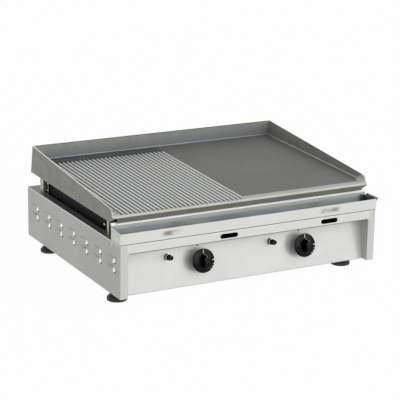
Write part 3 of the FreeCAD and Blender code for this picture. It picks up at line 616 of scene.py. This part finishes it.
GRIDDLE_FRONT = 37.6
GRIDDLE_REAR = 448.0  # outer face of the rear wall at its top
WALL = 4.0
WALL_REAR_HEIGHT = 209.0
WALL_REAR_BOTTOM = 148.5
WALL_LEAN = 10.0  # how far the rear wall's foot stands behind its top
PLATE_THICKNESS = 8.0
PLATE_FRONT_HEIGHT = 163.0
PLATE_REAR_HEIGHT = 175.8
NOSE_RADIUS = 7.0
GROOVE_COUNT = 28
GROOVE_PITCH = 10.02
GROOVE_FIRST = -277.4
GROOVE_TOP = 6.4
GROOVE_FLOOR = 2.6
GROOVE_DEPTH = 2.6
GROOVE_REAR = 422.0
GROOVE_RUNOUT = 6.0
CREST_STEP = 0.4  # from a groove's edge to the next row of points on its crest
LIP_LAND = 6.0  # dressed strip behind the lip, in front of the ribbed field
CREST_TONE = (1.9, 2.6)  # from a groove's middle to where the crest's tone starts and is full
FIELD_LEFT = (-283.4, -282.2)
FIELD_RIGHT = (0.5, -0.5)
FIELD_REAR = (414.0, 404.0)  # the crests' tone fades out before the grooves do


def lean(z):
    """How far the rear wall stands behind its top edge at one height."""
    return WALL_LEAN * (WALL_REAR_HEIGHT - z) / (WALL_REAR_HEIGHT - WALL_REAR_BOTTOM)


plate_rear = GRIDDLE_REAR - WALL + lean(PLATE_REAR_HEIGHT)
lip_rear = GRIDDLE_FRONT + NOSE_RADIUS
plate_slope = (PLATE_REAR_HEIGHT - PLATE_FRONT_HEIGHT) / (plate_rear - lip_rear)


def plate_top(y):
    """Height of the cooking surface: a straight slope from the lip to the rear wall."""
    return PLATE_FRONT_HEIGHT + (y - lip_rear) * plate_slope


def groove_bottom(x, y):
    """Height of the milled surface: a flat floor, straight flanks and a ramp at the rear.

    Across a groove the cut is full inside half the floor width and fades to nothing at
    half the top width; near the rear end it fades with the distance left to run.
    """
    number = np.clip(np.round((x - GROOVE_FIRST) / GROOVE_PITCH), 0, GROOVE_COUNT - 1)
    off = np.abs(x - GROOVE_FIRST - number * GROOVE_PITCH)
    across = np.clip((GROOVE_TOP / 2 - off) / (GROOVE_TOP - GROOVE_FLOOR) * 2, 0, 1)
    along = np.clip((GROOVE_REAR - y) / GROOVE_RUNOUT, 0, 1)
    return np.where(across > 0, plate_top(y) - GROOVE_DEPTH * across * along, np.inf)


# Sections of the plate stand at the edges, flank middles and floor edges of every groove.
inner = half_width - WALL
half_top, half_floor = GROOVE_TOP / 2, GROOVE_FLOOR / 2
left_cuts = np.array([-half_top - CREST_STEP, -half_top, -(half_top + half_floor) / 2,
                      -half_floor])
cuts = np.concatenate([left_cuts, -left_cuts[::-1]])
groove_middles = GROOVE_FIRST + GROOVE_PITCH * np.arange(GROOVE_COUNT)
section_x = np.concatenate([[-inner], (groove_middles[:, None] + cuts).ravel(),
                            np.linspace(0, inner, 24)])
nose = arc((lip_rear, PLATE_FRONT_HEIGHT - NOSE_RADIUS), NOSE_RADIUS, 180, 90, 14)
ramp_start = GROOVE_REAR - GROOVE_RUNOUT
top_y = np.concatenate([np.linspace(lip_rear + LIP_LAND, ramp_start, 24),
                        np.linspace(ramp_start, GROOVE_REAR, 5)[1:], [plate_rear]])
under_rear = PLATE_REAR_HEIGHT - PLATE_THICKNESS
outline = np.concatenate([nose, np.stack([top_y, plate_top(top_y)], axis=1),
                          [[GRIDDLE_REAR - WALL + lean(under_rear), under_rear],
                           [GRIDDLE_FRONT, plate_top(GRIDDLE_FRONT) - PLATE_THICKNESS]]])
plate_y, plate_z = outline.T
plate_z = np.minimum(plate_z, groove_bottom(section_x[:, None], plate_y))
plate_grid = placed(capped(points_at(section_x[:, None], plate_y, plate_z)))


def plate_material(name, pale, dark, roughness):
    """Ground plate steel: fine scratches front to back over broad heat stains."""
    material, tree, shader = new_material(name)
    scratches = object_pattern(tree, (900.0, 14.0, 900.0), Detail=3.0)
    stain = object_pattern(tree, (7.0, 5.0, 7.0), Detail=5.0, Roughness=0.65)
    tone = node(tree, "Math", {0: scratches, 1: stain}, operation="ADD")
    tone = node(tree, "MapRange", {"Value": tone, "From Min": 0.75, "From Max": 1.25})
    colour = node(tree, "Mix", {0: tone, 6: linear(dark), 7: linear(pale)}, data_type="RGBA")
    bump = node(tree, "Bump", {"Height": scratches, "Strength": 0.4, "Distance": 0.00003})
    fill(tree, shader, {"Base Color": colour.outputs[2], "Normal": bump,
                        "Metallic": 0.3, "Roughness": roughness})
    return material, tree, shader


# The flat half is dull and dark. The lip and the hollow rounds beside it are painted bright as a
# highlight where they face the light. The ribs are painted bright on their crests as light and
# dark on their floors as shade: the distance from the nearest groove's middle parts the crests
# from the floors.
flat_steel = plate_material("ground plate steel", "#757574", "#666664", 0.55)[0]
lip_steel = plate_material("plate steel with a painted highlight", "#C0C0BA", "#ACACA6", 0.45)[0]
rib_steel, tree, shader = plate_material("milled ribs", "#505254", "#424446", 0.45)
position = node(tree, "SeparateXYZ", {0: node(tree, "TexCoord").outputs["Object"]})
from_first = node(tree, "Math", {
    0: position.outputs["X"], 1: casing_origin[0] + GROOVE_FIRST / 1000}, operation="SUBTRACT")
off_groove = node(tree, "Math", {0: from_first, 1: GROOVE_PITCH / 2000}, operation="PINGPONG")
crest = node(tree, "MapRange", {
    "Value": off_groove,
    "From Min": CREST_TONE[0] / 1000, "From Max": CREST_TONE[1] / 1000})
field = within(tree, ("X", *FIELD_LEFT), ("X", *FIELD_RIGHT), ("Y", *FIELD_REAR))
ridge = node(tree, "Math", {0: crest, 1: field}, operation="MULTIPLY")
# painted light on the crests; the darker rib colours are painted shade on the floors
tinted(tree, shader, ridge, "#DADCDA")

ribbed = 1 + GROOVE_COUNT * len(cuts) + 1  # sections up to the end of the ribbed half
lip = len(nose)
plate = make_piece("ribbed_griddle_plate", [
    (plate_grid[:, :lip], False, lip_steel),
    (plate_grid[ribbed:, lip - 1:lip + 1], False, lip_steel),
    (plate_grid[:ribbed + 1, lip - 1:-2], False, rib_steel),
    (plate_grid[ribbed:, lip:-2], False, flat_steel),
    (plate_grid[:, [-3, -2, -1, 0]], False, flat_steel)])
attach(plate, "griddle")
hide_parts("griddle_plate")


# ---- Splash wall ----
# A 4 mm steel strip round three sides of the plate, welded to it along a fillet bead that
# widens to a hollow round at the lip. Its top edge rises in a straight line to the rear.

WALL_FRONT_BOTTOM = 146.6
WALL_NOSE_HEIGHT = 158.0
WALL_NOSE_BOW = 3.1
WALL_NOSE_FULLNESS = 3.2  # 4 would make the middle of the nose as high as its bow
WALL_FRONT_RUN = 50.6
WALL_FRONT_HEIGHT = 175.1
WALL_CHAMFER_RUN = 12.4
WALL_CHAMFER_RISE = 8.4
WALL_CORNER = 3.0
WALL_EDGE = 0.8
EDGE_SHOULDER = 0.3  # share of the rounded edge from its end to its middle point
BEAD = 2.6  # the weld's legs along the sides
REAR_BEAD = 2.0
BEAD_ROOT = 0.4  # how deep the weld's hidden corner lies in the metal
BEAD_END = 0.2  # gap between the side welds' ends and the rear wall
COVE_RADIUS = 11.0  # the hollow round at the lip
COVE_START = 0.5
COVE_END = 56.0
COVE_FADE = 18.0  # over this length it narrows to the weld
COVE_SHARE = 0.92  # of the wall's height above the plate, at most

nose_run = WALL_FRONT_RUN - GRIDDLE_FRONT
nose_rise = WALL_FRONT_HEIGHT - WALL_NOSE_HEIGHT


def wall_top(y):
    """Top of the wall: a nose over the front end, then a straight rise to the rear.

    The nose stands off its chord by the bow, times its fullness, times the share of its
    run gone, times the share left, over the cosine of the chord's slope.
    """
    share = np.clip((y - GRIDDLE_FRONT) / nose_run, 0, 1)
    bow = WALL_NOSE_BOW * WALL_NOSE_FULLNESS * share * (1 - share)
    bow = bow * np.hypot(nose_run, nose_rise) / nose_run
    rise = (WALL_REAR_HEIGHT - WALL_FRONT_HEIGHT) / (GRIDDLE_REAR - WALL_FRONT_RUN)
    return np.where(y < WALL_FRONT_RUN, WALL_NOSE_HEIGHT + share * nose_rise + bow,
                    WALL_FRONT_HEIGHT + (y - WALL_FRONT_RUN) * rise)


def wall_bottom(y):
    """Bottom of the wall: a cut-off lower front corner, then a slight rise to the rear."""
    start = GRIDDLE_FRONT + WALL_CHAMFER_RUN
    rise = (WALL_REAR_BOTTOM - WALL_FRONT_BOTTOM) / (GRIDDLE_REAR + WALL_LEAN - start)
    cut_off = np.maximum(start - y, 0) * WALL_CHAMFER_RISE / WALL_CHAMFER_RUN
    return WALL_FRONT_BOTTOM + np.maximum(y - start, 0) * rise + cut_off


def wall_sections():
    """Upright sections of the wall, one at each point of its plan, from left front to right front.

    A section leans back by its share of the way to the rear, times what the rear wall leans.
    """
    run = np.concatenate([GRIDDLE_FRONT + nose_run * np.linspace(0, 1, 14) ** 1.5,
                          np.linspace(WALL_FRONT_RUN, GRIDDLE_REAR - WALL, 14)[1:-1]])
    outer = np.stack([np.full(len(run), -half_width), run], axis=1)
    inside = outer + (WALL, 0)
    turn = arc((-half_width + WALL_CORNER, GRIDDLE_REAR - WALL_CORNER), WALL_CORNER, 180, 90, 7)
    rear_x = np.linspace(-half_width + 2 * WALL, 0, 8)[:, None]
    rear = np.concatenate([rear_x, np.full_like(rear_x, GRIDDLE_REAR)], axis=1)
    outer = np.concatenate([outer, turn, rear])
    corner = np.tile([[-half_width + WALL, GRIDDLE_REAR - WALL]], (len(turn), 1))
    inside = np.concatenate([inside, corner, rear - (0, WALL)])
    outer = np.concatenate([outer, (outer * (-1, 1))[-2::-1]])
    inside = np.concatenate([inside, (inside * (-1, 1))[-2::-1]])
    edge = WALL_EDGE / WALL
    half_edge = EDGE_SHOULDER * edge
    across = np.array([0, 0, half_edge, edge, 1 - edge, 1 - half_edge, 1, 1])
    flat = inside[:, None] + (outer - inside)[:, None] * across[None, :, None]
    down = WALL_EDGE * np.array([1, EDGE_SHOULDER, 0, 0, EDGE_SHOULDER, 1])
    top = wall_top(np.minimum(outer[:, 1], GRIDDLE_REAR))[:, None]
    share = ((outer[:, 1] - GRIDDLE_FRONT) / (GRIDDLE_REAR - GRIDDLE_FRONT))[:, None]
    low = wall_bottom(outer[:, 1:] + share * WALL_LEAN)
    z = np.concatenate([low, top - down, low], axis=1)
    y = flat[..., 1] + share * WALL_LEAN * (top - z) / (top - low)
    return points_at(flat[..., 0], y, z)


def bead_sections(side, run, radius, ground):
    """A hollow fillet between the plate and a side wall: its section is a quarter circle.

    Its radius and the height of its foot change along its run.
    """
    curve = arc((0, 0), 1.0, 270, 180, 9)
    wall_face = -half_width + WALL
    x = wall_face + radius[:, None] * (1 + curve[:, 0])
    z = ground[:, None] + radius[:, None] * (1 + curve[:, 1])
    x = np.insert(x, len(curve), wall_face - BEAD_ROOT, axis=1)
    z = np.insert(z, len(curve), ground - BEAD_ROOT, axis=1)
    return capped(points_at(-side * x, run[:, None], z))


# Satin rolled steel, mottled, and bluish along the rear. The wall's edge is painted bright at
# the left as a highlight, darker round the front ends, and dark along the rear and the right as
# shade.
wall_steel, tree, shader = brushed_metal(
    "rolled wall steel", "#94958F", "#85867F", 90.0, 0.3, 0.45, 0.00005, 40.0)
toned(tree, shader, (
    ("#7E8385", ("Y", 425.0, 435.0), ("Z", 205.0, 180.0), ("X", -297.0, -295.0)),))
edge_steel, tree, shader = brushed_metal(
    "steel edge with painted highlight and shade", "#DEDEDA", "#C9C9C4", 120.0, 0.4, 0.35)
toned(tree, shader, (
    # painted shade along the rear and the right
    ("#3C3D3A", ("X", -295.0, -292.0), ("Y", 52.0, 56.0)),
    # darker round the front ends
    ("#A9A9A2", ("Y", 50.0, 46.0))))
weld_steel = brushed_metal("dressed weld", "#B4B5B1", "#9B9C98", 160.0, 0.35, 0.4)[0]

sections = placed(capped(wall_sections()))
walls = make_piece("welded_splash_wall", [
    (sections[:, 0:2], False, wall_steel),
    (sections[:, 1:7], False, edge_steel),
    (sections[:, [6, 7, 0]], False, wall_steel)])
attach(walls, "griddle")
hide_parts("splash_wall")

cove_run = COVE_END + COVE_FADE - GRIDDLE_FRONT
lip_run = GRIDDLE_FRONT + COVE_START + cove_run * np.linspace(0, 1, 40) ** 1.4
behind = np.clip(NOSE_RADIUS - (lip_run - GRIDDLE_FRONT), 0, NOSE_RADIUS)
on_nose = PLATE_FRONT_HEIGHT - NOSE_RADIUS + np.sqrt(NOSE_RADIUS ** 2 - behind ** 2)
lip_ground = np.where(lip_run < lip_rear, on_nose, plate_top(lip_run))
fade = np.clip((lip_run - COVE_END) / COVE_FADE, 0, 1)
cove_radius = BEAD + (COVE_RADIUS - BEAD) * (1 + np.cos(math.pi * fade)) / 2
lip_radius = np.minimum(cove_radius, COVE_SHARE * (wall_top(lip_run) - lip_ground))
side_run = np.linspace(lip_run[-1], plate_rear - BEAD_END, 30)
rear_bead = np.concatenate([
    arc((plate_rear - REAR_BEAD, PLATE_REAR_HEIGHT + REAR_BEAD), REAR_BEAD, 270, 360, 7),
    [[plate_rear + BEAD_ROOT, PLATE_REAR_HEIGHT - BEAD_ROOT]]])
rear_x = np.linspace(-inner, inner, 30)[:, None]
beads = [(placed(capped(points_at(rear_x, *rear_bead.T))), True, weld_steel)]
for side in (-1, 1):
    cove = bead_sections(side, lip_run, lip_radius, lip_ground)
    weld = bead_sections(side, side_run, np.full_like(side_run, BEAD), plate_top(side_run))
    # the hollow round carries the lip's painted highlight
    beads.append((placed(cove), True, lip_steel))
    beads.append((placed(weld), True, weld_steel))
welds = make_piece("dressed_welds", beads, smooth=60.0)
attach(welds, "griddle")

apron_steel = brushed_metal("rolled mild steel", "#77776F", "#65655E", (30.0, 30.0, 600.0),
                            0.3, 0.5)[0]
finish_nodes(apron_steel, "front_apron")


# ---- Support legs ----
# Four angles of zinc-plated steel, welded upright to the deck and cut to the slope of the
# plate that rests on them. The front pair has a narrower arm along the side.

LEG_X = -289.5
LEG_ARM = 17.5
LEG_THICKNESS = 2.5
LEG_BEND = 1.0  # inside radius of its corner
LEG_FRONT = 76.3
LEG_REAR = 87.5
REST_GAP = 0.3


def angle_leg(side):
    """An upright angle: its outer and inner outline, joined by a wall and two end faces."""
    outer_bend = LEG_THICKNESS + LEG_BEND
    middle = (LEG_X + outer_bend, LEG_REAR - outer_bend)
    outlines = [np.concatenate([
        [[LEG_X + inset, LEG_FRONT]],
        arc(middle, outer_bend - inset, 180, 90, 6),
        [[LEG_X + LEG_ARM, LEG_REAR - inset]]]) for inset in (0.0, LEG_THICKNESS)]
    loop = np.concatenate([outlines[0], outlines[1][::-1]])
    ends = []
    for flat in (loop, np.array(outlines)):
        x, y = flat[..., 0] * -side, flat[..., 1]
        under_plate = plate_top(y) - PLATE_THICKNESS - REST_GAP
        ends.append((points_at(x, y, CASING_HEIGHT), points_at(x, y, under_plate)))
    return [(placed(np.stack(ends[0])), True, zinc), (placed(ends[1][0]), False, zinc),
            (placed(ends[1][1]), False, zinc)]


for side, name in ((-1, "front_left"), (1, "front_right")):
    leg = make_piece("angle_leg_" + name, angle_leg(side))
    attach(leg, "casing")
    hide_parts("support_leg_" + name)
finish_nodes(zinc, "support_leg_rear_left", "support_leg_rear_right")


# ---- Drip tray ----
# A channel folded from one stainless sheet, with a leaning rear lip and a spout lip at
# its right end. It slides out to the front along the casing's top.

TRAY_FRONT = ("Y", 0.6, 0.3)  # ramps that part the front's face from the trough
TRAY_INSIDE = ("Y", 0.5, 1.0)
TRAY_GREY_PATCHES = (((-213.0, -203.0), (-159.0, -179.0)),  # ramps at both ends of each
               ((158.0, 168.0), (217.0, 197.0)))

# The trough is painted bluish grey in streaks, as painted shade and reflection, its rear lip is
# painted bright as light and its right end is painted dark as shade. The tray's lower edges are
# painted dark as shade too, and its front has two grey patches.
tray_steel, tree, shader = brushed_sheet("brushed 304 stainless with a painted shaded trough")
streaks = object_pattern(tree, (14.0, 60.0, 60.0), Detail=4.0, Roughness=0.65)
streaked_shade = node(tree, "MapRange", {
    "Value": streaks, "From Min": 0.3, "From Max": 0.6, "To Min": 1.0, "To Max": 0.55})
trough = within(tree, TRAY_INSIDE, ("Z", 140.9, 140.2), ("X", -299.7, -299.2))
amount = node(tree, "Math", {0: trough, 1: streaked_shade}, operation="MULTIPLY")
# painted shade and reflection in the trough, in streaks
tinted(tree, shader, amount, "#8E9CA2")
toned(tree, shader, (
    # painted light on the rear lip
    ("#D2D2CC", ("Y", 40.0, 42.0), ("Z", 130.0, 136.0)),
    # painted shade in the right end
    ("#4A4F54", TRAY_INSIDE, ("X", 279.0, 290.0), ("Z", 134.6, 134.0))))
cloudy = node(tree, "MapRange", {
    "Value": object_pattern(tree, (40.0, 90.0, 90.0), Detail=4.0),
    "From Min": 0.35, "From Max": 0.6})
for left, right in TRAY_GREY_PATCHES:
    spot = within(tree, ("X", *left), ("X", *right), ("Z", 118.0, 122.0),
                  ("Z", 131.0, 127.0), TRAY_FRONT)
    grey_patch = node(tree, "Math", {0: spot, 1: cloudy}, operation="MULTIPLY")
    tinted(tree, shader, grey_patch, "#8F8C86")
toned(tree, shader, (
    # painted shade along the lower edges
    ("#66666A", ("Z", 112.3, 111.8), ("Y", 1.0, 0.5)),
    ("#66666A", ("Z", 112.3, 111.8), ("X", -299.2, -299.6))))
finish_nodes(tray_steel, "drip_tray")


# ---- Knobs ----
# Glossy black phenolic mouldings: a shallow cone with a rim, and a tall upright grip. The
# white pointer and marks are printed on the cone and carried on over the grip's end.

KNOB_X = {"left": -111.2, "right": 129.3}
KNOB_HEIGHT = 48.9
PANEL_TILT = 11.1
PANEL_BOTTOM = 17.4
PANEL_DROP = 1.2
RIM_OUT = 22.6
RIM_RADIUS = 23.8  # the cone runs from here to the dome's flat middle
DOME_OUT = 24.0
DOME_RADIUS = 12.8
KNOB_PROFILE = ((0, 5), (9, 5), (9, 15.3), (23.6, 18.7), (24.6, 19.2), (25, 20.0), (25, 21.3),
                (24.6, 22.1), (RIM_RADIUS, RIM_OUT), (DOME_RADIUS, DOME_OUT), (0, DOME_OUT))
GRIP_WIDTH = 12.8
GRIP_UP = 15.0
GRIP_DOWN = 14.6
GRIP_FOOT = 22.5
GRIP_OUT = 40.5
GRIP_SLOPE = 4.5
GRIP_DRAFT = 1.2
GRIP_SECTIONS = ((0, 0), (0.25, 0), (0.5, 0), (0.75, 0), (0.93, 0), (0.98, 0.35), (1.0, 1.0))
GRIP_STEPS = 40
POINTER_SPAN = (0.08, 0.97)  # share of the grip's upper ridge that the pointer covers
INK = 0.12  # thickness of a printed bar
INK_ROOT = 0.3  # how deep its hidden side lies in the moulding
INDEX_PLACE = (-0.9, 78.0)  # from the knob's middle across, and height on the panel
INDEX_HALF = 1.9
INDEX_WIDTH = 2.2
INDEX_INK = 0.06

tilt = math.radians(PANEL_TILT)


def on_panel(points, x, z):
    """Puts points drawn right, up and out of the control panel at its place (x, z)."""
    right, up, out = np.moveaxis(points, -1, 0)
    y = PANEL_BOTTOM + (z + PANEL_DROP) * math.tan(tilt)
    return placed(points_at(x + right,
                            y + up * math.sin(tilt) - out * math.cos(tilt),
                            z + up * math.cos(tilt) + out * math.sin(tilt)))


def grip_sections():
    """Sections of the grip from its foot outwards: a bar with round ends that narrows.

    Each section is a circle of the grip's half width whose upper half is moved up and
    whose lower half is moved down by what is left of the grip's reach.
    """
    angle = np.linspace(0, 2 * math.pi, GRIP_STEPS, endpoint=False)
    share, shrink = np.array(GRIP_SECTIONS).T[:, :, None]
    radius = (GRIP_WIDTH - GRIP_DRAFT * share) / 2 - shrink
    top = GRIP_UP - GRIP_SLOPE * share - shrink
    bottom = GRIP_DOWN - GRIP_DRAFT * share - shrink
    x = radius * np.cos(angle)
    y = radius * np.sin(angle) + np.where(np.sin(angle) >= 0, top - radius, radius - bottom)
    return capped(points_at(x, y, GRIP_FOOT + (GRIP_OUT - GRIP_FOOT) * share))


def printed(path, width, lift=INK):
    """A thin bar of ink along a path of (right, up, out) points, `lift` proud of them."""
    path = np.asarray(path, dtype=float)
    along = path[-1] - path[0]
    across = unit(np.cross(unit(along), (0, 0, 1))) * width / 2
    proud = unit(np.cross(across, along))
    corners = [-across - INK_ROOT * proud, across - INK_ROOT * proud,
               across + lift * proud, -across + lift * proud]
    return capped(np.stack([path + corner for corner in corners], axis=1))


def on_cone(radius_in, radius_out, clock):
    """A path along the knob's cone, away from its middle, at an hour of the clock."""
    turn = math.radians(90 - 30 * clock)
    radial = np.linspace(radius_in, radius_out, 5)
    share = (RIM_RADIUS - radial) / (RIM_RADIUS - DOME_RADIUS)
    out = RIM_OUT + share * (DOME_OUT - RIM_OUT)
    return points_at(radial * math.cos(turn), radial * math.sin(turn), out)


def smooth_finish(name, colour, mottle, rough, specular=0.5):
    """A moulding, ink or glaze whose roughness wanders between two values."""
    material, tree, shader = new_material(name)
    flow = object_pattern(tree, mottle, Detail=2.0)
    spread = node(tree, "MapRange", {"Value": flow, "To Min": rough[0], "To Max": rough[1]})
    fill(tree, shader, {"Roughness": spread, "Base Color": linear(colour),
                        "Specular IOR Level": specular})
    return material


phenolic = smooth_finish("glossy black phenolic", "#040404", 160.0, (0.12, 0.2), 0.14)
print_white = smooth_finish("white tampon print", "#E8E8E4", 2500.0, (0.5, 0.7))
print_grey = smooth_finish("grey screen print", "#3C3C3B", 2500.0, (0.5, 0.7))

ridge_share = np.linspace(*POINTER_SPAN, 6)
grip_ridge = points_at(0, GRIP_UP - GRIP_SLOPE * ridge_share,
                       GRIP_FOOT + (GRIP_OUT - GRIP_FOOT) * ridge_share)
knob_print = [
    (on_cone(15.6, 23.7, 0.0), 1.1),
    (grip_ridge, 0.9),
    (on_cone(19.5, 23.7, 3.0), 2.2),
    (on_cone(21.2, 23.5, 3.7), 0.8),
    (on_cone(21.2, 23.5, 4.2), 0.8),
    (on_cone(21.2, 23.5, 4.7), 0.8),
]
index_mark = printed([(-INDEX_HALF, 0, 0), (0, 0, 0), (INDEX_HALF, 0, 0)], INDEX_WIDTH, INDEX_INK)

for side, x in KNOB_X.items():
    knob = make_piece("moulded_knob_" + side, [
        (on_panel(turned(KNOB_PROFILE, 96), x, KNOB_HEIGHT), True, phenolic),
        (on_panel(grip_sections(), x, KNOB_HEIGHT), True, phenolic)])
    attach(knob, "knob_" + side)
    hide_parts("knob_" + side)
    marks = make_piece("printed_marks_" + side, [
        (on_panel(printed(path, width), x, KNOB_HEIGHT), True, print_white)
        for path, width in knob_print])
    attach(marks, "knob_" + side)
    index = make_piece("index_mark_" + side, [
        (on_panel(index_mark, x + INDEX_PLACE[0], INDEX_PLACE[1]), True, print_grey)])
    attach(index, "casing")


# ---- Piezo igniters ----
# Glossy black mouldings through the panel, each with a nut, a chromed collar and ring, and
# a push button.

IGNITER_OFFSET = -70.3
IGNITER_HEIGHT = 63.4
BODY_PROFILE = ((0, -34), (5.5, -34), (5.5, 0), (7.5, 0), (7.5, 4.7), (6.9, 5.5), (6.2, 5.5),
                (6.2, 9.5), (5.8, 10), (4.75, 10), (4.75, -4), (0, -4))
BUTTON_PROFILE = ((0, 2), (4.7, 2), (4.7, 18.6), (4.4, 19.4), (3.5, 20), (0, 20))
COLLAR_PROFILE = ((6.0, 0.05), (8.6, 0.05), (8.6, 1.0), (8.3, 1.3), (6.0, 1.3), (6.0, 0.05))
RING_PROFILE = ((6.1, 5.6), (6.9, 5.6), (6.9, 7.4), (6.7, 7.6), (6.1, 7.6), (6.1, 5.6))

chrome = brushed_metal("chromed brass", "#E6E6E6", "#DCDCDC", 400.0, 0.9, 0.15)[0]


def igniter_part(name, x, material, *profiles):
    """A turned piece of the igniter beside the knob at x, on its axis through the panel."""
    return make_piece(name, [
        (on_panel(turned(profile), x + IGNITER_OFFSET, IGNITER_HEIGHT), True, material)
        for profile in profiles])


for side, x in KNOB_X.items():
    body = igniter_part("igniter_housing_" + side, x, phenolic, BODY_PROFILE)
    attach(body, "casing")
    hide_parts("igniter_body_" + side)
    collar = igniter_part("igniter_collar_" + side, x, chrome, COLLAR_PROFILE, RING_PROFILE)
    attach(collar, "casing")
    button = igniter_part("igniter_plunger_" + side, x, phenolic, BUTTON_PROFILE)
    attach(button, "igniter_button_" + side)
    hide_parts("igniter_button_" + side)


# ---- Burner bay and gas parts ----
# Behind the panel: a heat shield painted black as shade, tube burners on angle bars, brass taps
# and injectors, and a steel rail fed from the threaded inlet at the rear.

INLET_X = 240.0
RAIL_HEIGHT = 24.0
BLOCK_WIDTH = 32.0  # the elbow block inside the rear panel
BLOCK_HEIGHT = 16.0
BLOCK_START = 438.0
BLOCK_EDGE = 1.0
THREAD_RADIUS = 10.48
THREAD_PITCH = 1.814  # a G 1/2 pipe thread
THREAD_DEPTH = 1.16
THREAD_START = 4.0
THREAD_END = 21.6
NOZZLE_PROFILE = ((0, -8.0), (5, -8.0), (5, 22.0), (9.3, 22.0))
FLANGE_PROFILE = ((15, 4), (15, 3.8), (15, 0), (8, 0), (8, -SHEET), (8, -8.0), (0, -8.0))

# The heat shield is painted black as shade under the plate.
shield_shade_black = dull_black("heat shield painted black as shade", "#060606", 250.0, 0.08)
tube_steel = brushed_metal("drawn steel tube", "#A9A9A7", "#8F8F8C", 40.0, 0.8, 0.4)[0]
brass = brushed_metal("turned brass", "#C9A45C", "#B8924A", 300.0, 0.9, 0.3)[0]
copper = brushed_metal("drawn copper", "#B9764F", "#A0623E", 200.0, 0.9, 0.35)[0]
ceramic = smooth_finish("glazed steatite", "#EFEDE6", 400.0, (0.12, 0.22))

finish_nodes(shield_shade_black, "heat_shield")
finish_nodes(tube_steel, "gas_manifold", "supply_pipe")
finish_nodes(zinc, "burner_bar_front", "burner_bar_rear")
SIDE_FINISHES = {"burner": tube_steel, "tap_stem": zinc, "tap_body": brass, "tap_rotor": brass,
                 "injector": brass, "electrode": ceramic, "thermocouple": copper}
for side in KNOB_X:
    for name, material in SIDE_FINISHES.items():
        finish_nodes(material, name + "_" + side)

thread = threaded(THREAD_RADIUS, THREAD_PITCH, THREAD_DEPTH, THREAD_START, THREAD_END, 32)[::-1]
fitting = np.concatenate([turned(NOZZLE_PROFILE, 32), thread, turned(FLANGE_PROFILE, 32)])
block_length = CASING_DEPTH - SHEET - BLOCK_START
block_corners = np.array([(1, 1), (-1, 1), (-1, -1), (1, -1)])
block = np.array([
    [(u * (BLOCK_WIDTH / 2 - inset), v * (BLOCK_HEIGHT / 2 - inset), along)
     for u, v in block_corners]
    for along, inset in ((0.0, BLOCK_EDGE), (BLOCK_EDGE, 0), (block_length - BLOCK_EDGE, 0),
                         (block_length, BLOCK_EDGE))])
inlet = make_piece("threaded_gas_inlet", [
    (aimed(fitting, "+y", (INLET_X, CASING_DEPTH, RAIL_HEIGHT)), True, brass),
    (aimed(capped(block), "+y", (INLET_X, BLOCK_START, RAIL_HEIGHT)), True, brass)])
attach(inlet, "casing")
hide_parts("gas_inlet")
